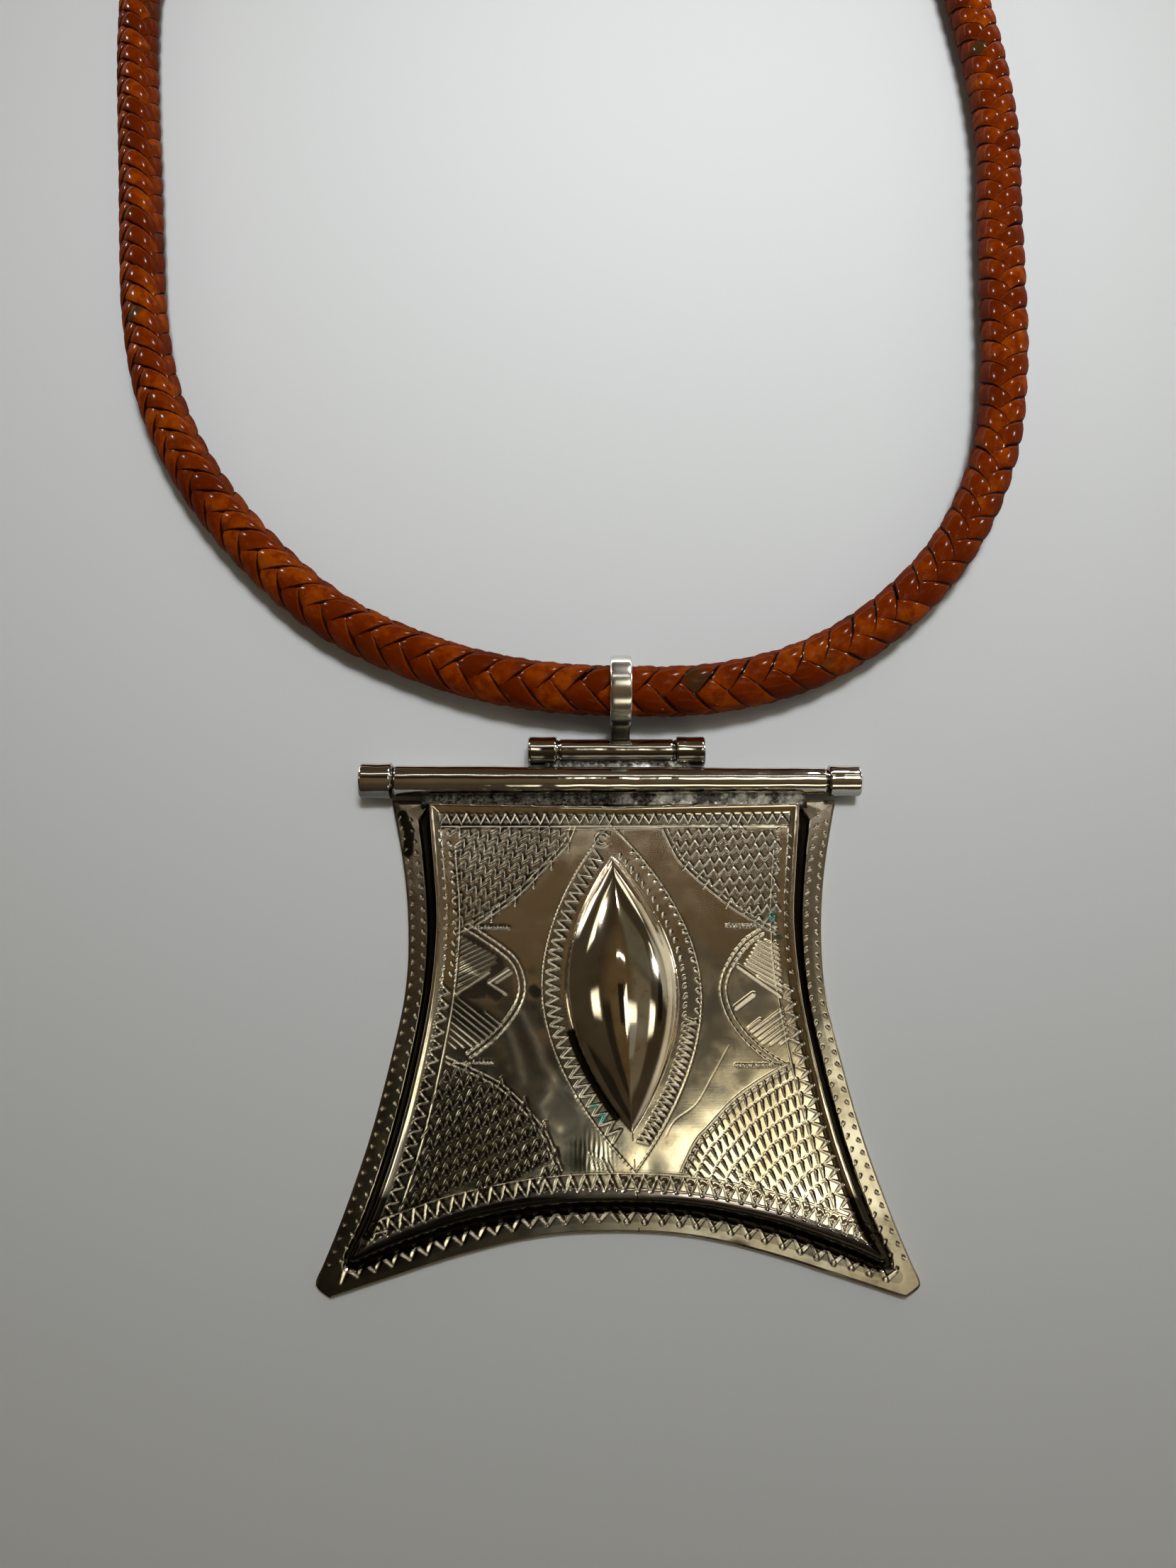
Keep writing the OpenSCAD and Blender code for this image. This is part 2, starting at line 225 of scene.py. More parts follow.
# Dents in the front sheet: x, y, radius, depth; a depth below zero is a bulge
DENTS = [
    (-11.0, 1.5, 1.4, 0.03), (-14.0, -6.0, 3.2, 0.04), (-9.0, -5.0, 2.6, 0.03), (8.5, -16.5, 3.4, -0.03),
    (3.6, -22.0, 1.8, 0.06), (-3.6, -21.5, 1.6, -0.05), (11.5, -3.0, 5.0, 0.02), (-11.0, 11.0, 5.0, 0.05),
    (12.0, 8.0, 6.0, -0.06), (0.0, 22.8, 5.0, 0.04), (14.2, -32.6, 1.6, 0.30), (24.5, -33.6, 2.2, -0.18),
]
# Creases in the panel: line, half width and height
CREASES = [
    ([(-13.7, -5.3), (-12.7, -7.9), (-11.8, -11.4)], 0.6, 0.012),
    ([(-12.0, -3.3), (-10.4, -6.4), (-9.3, -9.5), (-7.5, -11.9), (-5.1, -13.2)], 0.6, 0.016),
    ([(-8.4, -11.2), (-8.7, -13.0), (-9.8, -14.5), (-9.0, -16.3), (-7.4, -17.3)], 0.7, 0.014),
]
# Green corrosion: x, y, radius, strength
VERDIGRIS = [
    (-1.8, -16.1, 0.8, 1.0), (-2.9, -14.6, 0.6, 0.8), (-1.8, 24.0, 1.5, 0.6), (1.5, 24.2, 1.2, 0.4),
    (20.8, 9.6, 1.0, 0.9), (21.4, 6.9, 0.9, 0.7), (-16.9, -14.1, 1.3, 0.5), (-14.5, -13.2, 0.8, 0.5),
    (-20.9, -9.4, 0.8, 0.4),
]


# Helpers for node trees


def feed(tree, socket, value):
    """Sets one input, from another node's output or from a plain value."""
    if isinstance(value, Sum):
        tree.links.new(value.socket, socket)
    elif isinstance(value, bpy.types.NodeSocket):
        tree.links.new(value, socket)
    else:
        socket.default_value = value


def node(tree, kind, inputs=None, **settings):
    """Adds one node with its own settings and its inputs, by name or number."""
    made = tree.nodes.new(kind)
    for key, value in settings.items():
        setattr(made, key, value)
    for key, value in (inputs or {}).items():
        feed(tree, made.inputs[key], value)
    return made


class Sum:
    """A number inside a node tree, so that the trees' sums read as plain arithmetic."""

    def __init__(self, tree, value):
        self.tree = tree
        self.socket = value

    def maths(self, operation, *others):
        inputs = {0: self}
        inputs.update({place + 1: other for place, other in enumerate(others)})
        made = node(self.tree, "ShaderNodeMath", inputs, operation=operation)
        return Sum(self.tree, made.outputs[0])

    def __add__(self, other):
        return self.maths("ADD", other)

    def __sub__(self, other):
        return self.maths("SUBTRACT", other)

    def __mul__(self, other):
        return self.maths("MULTIPLY", other)

    def __truediv__(self, other):
        return self.maths("DIVIDE", other)

    def sine(self):
        return self.maths("SINE")

    def cosine(self):
        return self.maths("COSINE")

    def power(self, other):
        return self.maths("POWER", other)

    def size(self):
        return self.maths("ABSOLUTE")

    def whole(self):
        return self.maths("FLOOR")

    def rest(self, other):
        return self.maths("FLOORED_MODULO", other)

    def between(self, low, high):
        """0 below low, 1 above high, and a soft step between them; high may be the smaller one."""
        inputs = {0: self, 1: low, 2: high, 3: 0.0, 4: 1.0}
        made = node(self.tree, "ShaderNodeMapRange", inputs, interpolation_type="SMOOTHSTEP")
        return Sum(self.tree, made.outputs[0])


def vector(tree, x, y, z):
    """Three numbers as one vector."""
    return node(tree, "ShaderNodeCombineXYZ", {0: x, 1: y, 2: z}).outputs[0]


def parts(tree, value):
    """A vector's three numbers."""
    made = node(tree, "ShaderNodeSeparateXYZ", {0: value})
    return [Sum(tree, output) for output in made.outputs]


def vectors(tree, operation, *inputs):
    """One step of vector arithmetic."""
    made = node(tree, "ShaderNodeVectorMath", dict(enumerate(inputs)), operation=operation)
    return made.outputs[0]


def scaled(tree, value, factor):
    """A vector times a number."""
    return node(tree, "ShaderNodeVectorMath", {0: value, "Scale": factor}, operation="SCALE").outputs[0]


def new_steps(name, inputs):
    """A Geometry Nodes tree with named inputs; each input is (name, socket type, default)."""
    tree = bpy.data.node_groups.new(name, "GeometryNodeTree")
    tree.interface.new_socket(name="Geometry", in_out="INPUT", socket_type="NodeSocketGeometry")
    for label, kind, default in inputs:
        socket = tree.interface.new_socket(name=label, in_out="INPUT", socket_type=kind)
        if default is not None:
            socket.default_value = default
    tree.interface.new_socket(name="Geometry", in_out="OUTPUT", socket_type="NodeSocketGeometry")
    return tree


def run_steps(carrier, tree, values, name):
    """Runs a Geometry Nodes tree on an object and keeps the result as a plain mesh piece."""
    steps = carrier.modifiers.new("Steps", "NODES")
    steps.node_group = tree
    for item in tree.interface.items_tree:
        if item.in_out == "INPUT" and item.name in values:
            steps[item.identifier] = values[item.name]
    bpy.context.view_layer.update()
    graph = bpy.context.evaluated_depsgraph_get()
    mesh = bpy.data.meshes.new_from_object(carrier.evaluated_get(graph))
    mesh.name = name
    carrier.modifiers.remove(steps)
    bpy.data.objects.remove(carrier)
    return show(mesh, name)


def show(mesh, name):
    """An object that holds the mesh or curve, in the scene."""
    made = bpy.data.objects.new(name, mesh)
    bpy.context.scene.collection.objects.link(made)
    return made


def keep(piece, part, finish=None):
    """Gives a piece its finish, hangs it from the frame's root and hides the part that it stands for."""
    if finish is not None:
        piece.data.materials.append(finish)
    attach(piece, "root")
    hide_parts(part)


# Materials


def new_finish(name):
    """A material with its principled shader and its object coordinates."""
    finish = bpy.data.materials.new(name)
    finish.use_nodes = True
    tree = finish.node_tree
    tree.nodes.clear()
    shader = node(tree, "ShaderNodeBsdfPrincipled")
    output = node(tree, "ShaderNodeOutputMaterial")
    tree.links.new(shader.outputs[0], output.inputs["Surface"])
    place = node(tree, "ShaderNodeTexCoord").outputs["Object"]
    return finish, tree, shader, place


def noise(tree, place, scale, detail, rough=0.55, twist=0.0):
    """Cloudy noise from 0 to 1."""
    inputs = {"Vector": place, "Scale": scale, "Detail": detail, "Roughness": rough, "Distortion": twist}
    return Sum(tree, node(tree, "ShaderNodeTexNoise", inputs).outputs["Fac"])


def blend(tree, amount, first, second):
    """Mixes two colours."""
    made = node(tree, "ShaderNodeMix", data_type="RGBA")
    feed(tree, made.inputs[0], amount)
    for place, value in ((6, first), (7, second)):
        if not isinstance(value, (Sum, bpy.types.NodeSocket)):
            value = (*value, 1.0)
        feed(tree, made.inputs[place], value)
    return made.outputs[2]


def told(tree, name):
    """A number that the mesh carries at each of its points."""
    made = node(tree, "ShaderNodeAttribute", attribute_name=name, attribute_type="GEOMETRY")
    return Sum(tree, made.outputs["Fac"])


def bump(tree, height, distance, strength, below=None):
    """A normal from a height, on top of another normal if one is given."""
    inputs = {"Height": height, "Distance": distance, "Strength": strength}
    if below is not None:
        inputs["Normal"] = below
    return node(tree, "ShaderNodeBump", inputs).outputs[0]


def leather_finish(colours):
    """Varnished orange-brown leather with painted shade between the strands and where they dip under, lighter
    along one edge of each strand from wear and a painted highlight, and stained in places.
    """
    finish, tree, shader, place = new_finish("plaited_leather")
    signed = told(tree, "across")
    across = signed.size()
    strand = told(tree, "strand")
    along = told(tree, "along")
    blotch = noise(tree, place, scale=520.0, detail=3.0, rough=0.6)
    grain = noise(tree, place, scale=3000.0, detail=4.0, rough=0.65)
    own = noise(tree, vector(tree, along * 150.0, strand * 17.3, 0.5), scale=1.0, detail=1.0)
    tone = blend(tree, own.between(0.32, 0.66), colours.deep, colours.leather)
    tone = blend(tree, (own * 0.6 + blotch * 0.5).between(0.55, 0.78) * 0.75, tone, colours.amber)
    tone = blend(tree, blotch.between(0.56, 0.36) * 0.55, tone, colours.deep)
    # Lighter along one edge of each strand: wear, and a painted highlight on the edge
    worn = across.between(0.68, 0.80) * grain.between(0.3, 0.6) * signed.between(-0.2, 0.2)
    tone = blend(tree, worn * 0.55, tone, colours.amber)
    stain = noise(tree, vector(tree, along * 110.0, strand * 31.7, 4.5), scale=1.0, detail=1.0)
    stain = stain.between(0.70, 0.74)
    tone = blend(tree, stain * blotch.between(0.3, 0.5) * 0.85, tone, colours.stain)
    # Painted shade in the crevices between the strands
    seam = across.between(0.75, 0.89)
    tone = blend(tree, seam * 0.96, tone, colours.seam)
    # Painted shade where a strand dips under the others
    low = told(tree, "rise").between(0.1, -0.7)
    tone = blend(tree, low * 0.85, tone, colours.seam)
    feed(tree, shader.inputs["Base Color"], tone)
    feed(tree, shader.inputs["Roughness"], grain.between(0.2, 0.9) * 0.2 + 0.42)
    shader.inputs["Specular IOR Level"].default_value = 0.0
    shader.inputs["Coat Weight"].default_value = 0.11
    shader.inputs["Coat Roughness"].default_value = 0.14
    shader.inputs["Coat IOR"].default_value = 1.5
    rough = noise(tree, place, scale=1100.0, detail=3.0, rough=0.6)
    feed(tree, shader.inputs["Normal"], bump(tree, rough * 0.7 + grain * 0.3, distance=0.0003, strength=0.6))
    return finish


def silver_finish(name, colours, clean, tarnish=0.8, polish=0.1, worn=1.0, dents=0.2):
    """Old silver with warm tarnish, clean metal with a painted glint in fresh cuts, and black oxide and
    painted shade where the mesh says so.
    """
    finish, tree, shader, place = new_finish(name)
    black = told(tree, "oxide_and_shade")
    fresh = told(tree, "fresh")
    calm = told(tree, "polish")
    cloud = noise(tree, place, scale=70.0, detail=3.0, rough=0.55)
    patch = noise(tree, place, scale=300.0, detail=4.0, rough=0.6, twist=0.3)
    speck = noise(tree, place, scale=2300.0, detail=3.0, rough=0.6)
    warm = (cloud * 0.7 + patch * 0.4).between(0.38, 0.70)
    tone = blend(tree, warm * tarnish, clean, colours.tarnish)
    soot = (patch * 0.7 + speck * 0.35).between(0.58, 0.74) * 0.5
    tone = blend(tree, soot * tarnish, tone, colours.soot)
    tone = blend(tree, fresh, tone, colours.fresh)
    tone = blend(tree, black, tone, colours.oxide_and_shade)
    crust = (told(tree, "green") + speck * 0.5 + patch * 0.5).between(0.95, 1.2)
    tone = blend(tree, crust * 0.8, tone, colours.green)
    feed(tree, shader.inputs["Base Color"], tone)
    # Bright cut metal is partly diffuse, so it reads cream from any side: a painted glint
    feed(tree, shader.inputs["Metallic"], fresh * -0.6 + 1.0)
    way = {"Vector": place, "Rotation": (0.0, 0.0, 0.35), "Scale": (1.0, 30.0, 1.0)}
    lines = noise(tree, node(tree, "ShaderNodeMapping", way).outputs[0], scale=160.0, detail=2.0)
    wear = patch.between(0.4, 0.75) * 0.07 + speck * 0.03 + cloud.between(0.45, 0.7) * 0.03
    rough = wear * (calm * -0.8 + 1.0) * worn + black * 0.1 + fresh * 0.06 + (polish - 0.03)
    feed(tree, shader.inputs["Roughness"], rough - calm * 0.02)
    waves = noise(tree, place, scale=110.0, detail=2.0)
    first = bump(tree, waves * (calm * -0.7 + 1.0), distance=0.0005, strength=dents)
    second = bump(tree, speck * 0.4 + lines * 0.3, distance=0.00001, strength=0.3, below=first)
    feed(tree, shader.inputs["Normal"], second)
    return finish


def solder_finish(colours):
    """Grey flooded solder with a rough, crystalline skin, dark pits and pale patches on its right half, a
    painted reflection.
    """
    finish, tree, shader, place = new_finish("solder")
    cut = told(tree, "oxide_and_shade")
    grain = noise(tree, place, scale=1900.0, detail=4.0, rough=0.7)
    patch = noise(tree, place, scale=380.0, detail=3.0, rough=0.6)
    tone = blend(tree, grain.between(0.35, 0.65), (0.012, 0.011, 0.01), (0.25, 0.245, 0.23))
    tone = blend(tree, patch.between(0.58, 0.7) * 0.7, tone, colours.oxide_and_shade)
    # Pale patches on the right half: a painted reflection
    pale_reflection = parts(tree, place)[0].between(-0.001, 0.004) * patch.between(0.55, 0.45)
    tone = blend(tree, pale_reflection * 0.8, tone, colours.bright)
    tone = blend(tree, cut, tone, colours.oxide_and_shade)
    feed(tree, shader.inputs["Base Color"], tone)
    shader.inputs["Metallic"].default_value = 0.9
    feed(tree, shader.inputs["Roughness"], grain * 0.3 + 0.25)
    feed(tree, shader.inputs["Normal"], bump(tree, grain + patch * 0.5, distance=0.0002, strength=0.8))
    return finish


# Shapes worked out in the plane, in millimetres


def smooth_way(points, steps=12):
    """A smooth line through the points, with the given number of steps between neighbours."""
    points = np.array(points, float)
    ends = np.vstack([points[:1], points, points[-1:]])
    t = np.arange(steps)[:, None] / steps
    way = []
    for k in range(len(points) - 1):
        a, b, c, d = ends[k : k + 4]
        square, cube = 2 * a - 5 * b + 4 * c - d, 3 * b - a - 3 * c + d
        way.append(0.5 * (2 * b + (c - a) * t + square * t**2 + cube * t**3))
    way.append(points[-1:])
    return np.vstack(way)


def mirrored(points):
    """The line on the other side of the middle, walked the other way."""
    return np.array(points)[::-1] * (-1, 1)


def even(points, count):
    """The same line with its points spaced evenly."""
    points = np.array(points, float)
    lengths = np.hypot(*np.diff(points, axis=0)[:, :2].T)
    reach = np.concatenate([[0], np.cumsum(lengths)])
    at = np.linspace(0, reach[-1], count)
    return np.stack([np.interp(at, reach, points[:, k]) for k in range(points.shape[1])], 1)


def stations(points, pitch, each=1):
    """Even spots along a line, that many to each pitch, with the line's direction at each spot."""
    points = np.array(points, float)
    length = np.hypot(*np.diff(points, axis=0).T).sum()
    spots = even(points, each * max(int(round(length / pitch)), 1) + 1)
    ways = np.gradient(spots, axis=0)
    return spots, ways / np.linalg.norm(ways, axis=1, keepdims=True)


def off_line(x, y, points):
    """How far each place is from a line of points."""
    best = np.full(x.shape, 1e9)
    for (ax, ay), (bx, by) in zip(points[:-1], points[1:]):
        dx, dy = bx - ax, by - ay
        span = dx * dx + dy * dy
        if span == 0:
            continue
        t = np.clip(((x - ax) * dx + (y - ay) * dy) / span, 0, 1)
        np.minimum(best, (x - ax - t * dx) ** 2 + (y - ay - t * dy) ** 2, out=best)
    return np.sqrt(best)


def inside(x, y, points):
    """Whether each place lies within a closed outline."""
    x, y = np.asarray(x, float), np.asarray(y, float)
    found = np.zeros(x.shape, bool)
    for (ax, ay), (bx, by) in zip(points, np.roll(points, -1, axis=0)):
        if ay == by:
            continue
        crossing = (ay > y) != (by > y)
        found ^= crossing & (x < (bx - ax) * (y - ay) / (by - ay) + ax)
    return found


def lines_across(edge, turn, pitch, reach):
    """Parallel lines over an outline, a pitch apart: the places on each, and which of them lie within."""
    edge = np.array(edge, float)
    middle = edge.mean(axis=0)
    c, s = math.cos(turn), math.sin(turn)
    u = np.arange(-reach - 2, reach + 2, 0.1)
    for v in np.arange(-reach, reach, pitch):
        x, y = middle[0] + u * c - v * s, middle[1] + u * s + v * c
        yield np.stack([x, y], 1), inside(x, y, edge)


def plate_edges():
    """The plate's four edges: left and right from foot to top, foot and top from left to right."""
    side = smooth_way(PLATE_SIDE)
    tip = smooth_way(PLATE_TIP, 4)
    foot = smooth_way(PLATE_FOOT)
    corner = len(tip) // 2
    right = np.vstack([side, tip[1 : corner + 1]])[::-1]
    half_foot = np.vstack([tip[corner:], foot[1:]])
    foot = np.vstack([mirrored(half_foot)[::-1], half_foot[::-1][1:]])
    top = np.array([(-31, 27.2), (31, 27.2)], float)
    return right * (-1, 1), right, foot, top


def ridge_line():
    """The ridge's closed line."""
    side, tip, foot = smooth_way(RIDGE_SIDE), smooth_way(RIDGE_TIP, 3), smooth_way(RIDGE_FOOT)
    half = np.vstack([[(0, RIDGE_TOP)], side, tip[1:], foot[1:]])
    return np.vstack([half, mirrored(half)[1:-1]])


class Graver:
    """Cuts the plate's marks into fine maps of depth, oxide with painted shade, clean metal with painted
    glints, and soot with painted shade, in millimetres.
    """

    def __init__(self):
        columns, rows = [int((high - low) / CHART_STEP) + 1 for low, high in zip(CHART_LOW, CHART_HIGH)]
        # The black map holds oxide and painted shade, the clean-metal map also painted glints, and the soot
        # map also painted shade
        self.depth, self.black, self.fresh, self.soot = np.zeros((4, rows, columns), np.float32)
        self.dice = np.random.default_rng(SEED)

    def window(self, points, margin):
        """The part of the maps round the points, with the places there."""
        low = (np.min(points, axis=0) - margin - CHART_LOW) / CHART_STEP
        high = (np.max(points, axis=0) + margin - CHART_LOW) / CHART_STEP
        x0, y0 = np.maximum(low.astype(int), 0)
        x1 = min(int(high[0]) + 2, self.depth.shape[1])
        y1 = min(int(high[1]) + 2, self.depth.shape[0])
        y, x = np.mgrid[y0:y1, x0:x1]
        return (slice(y0, y1), slice(x0, x1)), x * CHART_STEP + CHART_LOW[0], y * CHART_STEP + CHART_LOW[1]

    def stroke(self, a, b, start, end, deep, black, fresh=1.0):
        """One cut from a to b: a wide wall of clean metal with a painted glint, and a steep one that holds
        oxide and painted shade.
        """
        place, x, y = self.window(np.array([a, b]), max(start, end))
        dx, dy = b[0] - a[0], b[1] - a[1]
        span = max(dx * dx + dy * dy, 1e-9)
        t = np.clip(((x - a[0]) * dx + (y - a[1]) * dy) / span, 0, 1)
        wide = (start + (end - start) * t) / 2
        off = np.hypot(x - a[0] - t * dx, y - a[1] - t * dy) / wide
        # The steep wall is on the same side of every cut, towards the plate's upper right where the light
        # comes from, so its black is painted shade and the wide wall's brightness a painted glint
        hand = 1 if 0.45 * -dy + 0.89 * dx > 0 else -1
        side = np.sign((x - a[0]) * -dy + (y - a[1]) * dx) * hand * off
        fall = np.clip(np.minimum((side + 1) / 1.45, (1 - side) / 0.55), 0, 1)
        depth = deep * wide / max(start, end) * 1.3 * fall * (1.35 - 0.35 * fall)
        dark = black * np.clip((side - 0.3) * 4, 0, 1)
        shine = fresh * self.dice.uniform(0.6, 1.0)
        clean = shine * np.clip((0.5 - side) * 4, 0, 1) * np.clip((1.02 + side) * 4, 0, 1)
        for chart, values in ((self.depth, depth), (self.black, dark), (self.fresh, clean)):
            chart[place] = np.maximum(chart[place], np.where(off < 1, values, 0))

    def shade_and_soot(self, points, wide, amount):
        """Soot and painted shade along a line, with no cut."""
        for a, b in zip(points[:-1], points[1:]):
            place, x, y = self.window(np.array([a, b]), wide)
            off = off_line(x, y, [a, b]) / (wide / 2)
            self.soot[place] = np.maximum(self.soot[place], amount * np.clip((1.3 - off) * 2, 0, 1))

    def line(self, points, wide, deep, black=0.8, fresh=1.0):
        """A line of cuts that join."""
        for a, b in zip(points[:-1], points[1:]):
            self.stroke(a, b, wide, wide, deep, black, fresh)

    def pit(self, at, wide, deep, black):
        """A small round pit that holds oxide."""
        place, x, y = self.window(np.array([at]), wide)
        off = np.hypot(x - at[0], y - at[1]) / (wide / 2)
        shape = np.clip(1 - off**2, 0, 1)
        self.depth[place] += deep * shape
        self.black[place] = np.maximum(self.black[place] * (1 - shape), black * shape)

    def jitter(self, amount):
        """How far the hand slips."""
        return self.dice.uniform(-amount, amount)

    def wriggle(self, points, pitch, tall, thin, thick, deep, lean=0.0, black=0.9, pits=0.0, fresh=1.0):
        """A zigzag walked along a line with the graver: its turns are broad and its legs narrow."""
        turns = []
        for k, ((x, y), (dx, dy)) in enumerate(zip(*stations(points, pitch, 2))):
            out = tall / 2 * (1 if k % 2 else -1) + self.jitter(0.07)
            shift = pitch * (lean * (0.5 if k % 2 else -0.5)) + self.jitter(0.09)
            turns.append((x + dx * shift - dy * out, y + dy * shift + dx * out))
        for k, (a, b) in enumerate(zip(turns[:-1], turns[1:])):
            start, end = (thick, thin) if k % 2 else (thin, thick)
            self.stroke(a, b, start, end, deep, black, fresh)
        if pits:
            for a, b, c in zip(turns[0::2], turns[1::2], turns[2::2]):
                at = ((a[0] + c[0] + b[0]) / 3, (a[1] + c[1] + b[1]) / 3)
                self.pit(at, wide=0.62 * pitch, deep=0.1, black=pits)

    def hooks(self, points, pitch, tall, wide, fresh=1.0):
        """Separate short marks, two to a turn, like a zigzag whose legs have worn away."""
        for k, ((x, y), (dx, dy)) in enumerate(zip(*stations(points, pitch, 2))):
            hand = 1 if k % 2 else -1
            out = tall / 2 * hand
            x, y = x - dy * out + self.jitter(0.06), y + dx * out + self.jitter(0.06)
            long = 0.55 + self.jitter(0.12)
            lean = hand * 0.5
            tip = (x + dx * long * 0.6 - dy * lean * long, y + dy * long * 0.6 + dx * lean * long)
            self.stroke((x, y), tip, wide, end=0.14, deep=0.15, black=0.9, fresh=fresh)

    def slits(self, points, pitch, tall, wide):
        """Parallel slits across a line, leaning a little."""
        for (x, y), (dx, dy) in zip(*stations(points, pitch)):
            out, shift = tall / 2 + self.jitter(0.05), 0.4 * tall / 2 + self.jitter(0.06)
            a = (x + dx * shift - dy * out, y + dy * shift + dx * out)
            b = (x - dx * shift + dy * out, y - dy * shift - dx * out)
            self.stroke(a, b, start=0.14, end=wide, deep=0.15, black=1.0, fresh=0.25)

    def dashes(self, points, pitch, wide, deep):
        """A line of short cuts that nearly touch."""
        spots = stations(points, pitch)[0]
        for a, b in zip(spots[:-1], spots[1:]):
            head, tail = a + (b - a) * 0.08, a + (b - a) * 0.82
            self.stroke(head, tail, start=wide * 0.5, end=wide * (1 + self.jitter(0.2)), deep=deep, black=0.6)

    def field(self, edge, turn, rows, pitch, tall, lean, **cut):
        """Wriggled rows that fill a closed outline, every other one moved on by half a tooth."""
        ahead = np.array([math.cos(turn), math.sin(turn)])
        for i, (spots, held) in enumerate(lines_across(edge, turn, rows, 22)):
            starts = np.flatnonzero(held & ~np.roll(held, 1))
            stops = np.flatnonzero(held & ~np.roll(held, -1))
            for a, b in zip(starts, stops):
                if b - a > pitch * 8:
                    shift = (i % 2) * pitch / 2 * ahead
                    self.wriggle(spots[[a, b]] + shift, pitch, tall, lean=lean, **cut)

    def read(self, x, y):
        """Depth, oxide with painted shade, and clean metal with painted glints at any places, read between
        the maps' points.
        """
        u = np.clip((x - CHART_LOW[0]) / CHART_STEP, 0, self.depth.shape[1] - 1.001)
        v = np.clip((y - CHART_LOW[1]) / CHART_STEP, 0, self.depth.shape[0] - 1.001)
        i, j = u.astype(int), v.astype(int)
        fu, fv = u - i, v - j
        found = []
        for chart in (self.depth, self.black, self.fresh):
            a = chart[j, i] * (1 - fu) + chart[j, i + 1] * fu
            b = chart[j + 1, i] * (1 - fu) + chart[j + 1, i + 1] * fu
            found.append(a * (1 - fv) + b * fv)
        return found


def soften(chart, rounds):
    """Blurs a height map a little, so that cuts have no steps."""
    for _ in range(rounds):
        for axis in (0, 1):
            chart = (np.roll(chart, 1, axis) + 2 * chart + np.roll(chart, -1, axis)) / 4
    return chart


def boss_place(x, y, sizes):
    """Each place across the boss, 0 on its middle line and 1 on its outline, and its share of full width."""
    turn = math.radians(sizes.boss_turn)
    long, wide = sizes.boss_length / MM, sizes.boss_width / MM
    c, s = math.cos(turn), math.sin(turn)
    x, y = x - BOSS_MIDDLE[0], y - BOSS_MIDDLE[1]
    reach = np.clip(np.abs(-x * s + y * c) / (long / 2), 0, 1)
    half = wide / 2 * (1 - reach**BOSS_TIPS)
    return (x * c + y * s) / np.maximum(half, 0.02), half / (wide / 2)


def boss_side(slopes, spread):
    """One side's share of the boss's height, summed up from its slopes, from its middle line to its foot."""
    shares = np.linspace(0, 1, 201)
    slope = np.interp(shares, *slopes)
    fall = np.concatenate([[0], np.cumsum(np.tan(np.radians((slope[1:] + slope[:-1]) / 2)))])
    return np.interp(spread, shares, 1 - fall / fall[-1])


def boss_line(sizes, grow):
    """The boss's outline from tip to tip on its left and on its right, grown by a margin."""
    turn = math.radians(sizes.boss_turn)
    long, wide = sizes.boss_length / MM / 2 + grow * 1.6, sizes.boss_width / MM / 2 + grow
    v = np.linspace(long, -long, 60)
    half = wide * (1 - np.abs(v / long) ** BOSS_TIPS)
    c, s = math.cos(turn), math.sin(turn)
    x, y = BOSS_MIDDLE
    return [np.stack([x + u * c - v * s, y + u * s + v * c], 1) for u in (-half, half)]


def shifted(points, amount):
    """A line moved sideways, to the left of its way."""
    way = np.gradient(np.array(points, float), axis=0)
    way = way / np.linalg.norm(way, axis=1, keepdims=True)
    return points + amount * np.stack([-way[:, 1], way[:, 0]], 1)


def engrave(graver, sizes):
    """All the marks on the plate's front."""
    engrave_corners(graver)
    engrave_borders(graver)
    engrave_lenses(graver)
    engrave_boss_band(graver, sizes)
    for (x, y), reach in ARROWS:
        graver.wriggle([(x, y), (x + reach, y)], pitch=0.42, tall=0.3, thin=0.16, thick=0.34, deep=0.12)
        graver.line([(x, y - 0.05), (x + reach, y)], wide=0.34, deep=0.1)
    # The stray marks that a tool left: a double ring, a scratch and a few strokes
    ring = [(-1.7 + math.cos(t), 20.5 + math.sin(t)) for t in np.linspace(0.6, 5.4, 20)]
    graver.line(ring, wide=0.22, deep=0.09)
    graver.line([(0.55 * x - 0.75, 0.55 * y + 9.2) for x, y in ring], wide=0.2, deep=0.07)
    scratch = smooth_way([(14.3, -7.2), (12.1, -10.9), (9.9, -14.4), (7.2, -16.4), (6.0, -18.3)], 6)
    graver.line(scratch, wide=0.1, deep=0.015, black=0.1, fresh=0.3)
    for k in range(6):
        x = -3.4 + 0.42 * k + graver.jitter(0.1)
        tip = (x + 0.7, -22.4 + graver.jitter(0.3))
        graver.line([(x, -20.2 - 0.2 * k), tip], wide=0.16, deep=0.05, black=0.1)


def engrave_corners(graver):
    """Four corner fields of wriggled rows or slits, each closed off by a double arc."""
    for arc, corner, beside, rows, cut in CORNERS:
        arc = smooth_way(arc, 8)
        edge = np.vstack([arc, corner])
        if rows:
            graver.field(edge, *rows, thin=0.2, deep=0.17, **cut)
        else:
            for k in range(10):
                row = even(shifted(arc, 1.0 + 1.72 * k), 400)
                held = inside(row[:, 0], row[:, 1], edge)
                if held.sum() > 20:
                    graver.slits(row[held], pitch=1.06, tall=1.25, wide=0.46)
                    graver.dashes(shifted(row, 0.86)[held], pitch=1.06, wide=0.24, deep=0.08)
        graver.line(arc, wide=0.26, deep=0.12, black=0.5)
        graver.dashes(shifted(arc, beside), pitch=0.85, wide=0.34, deep=0.13)


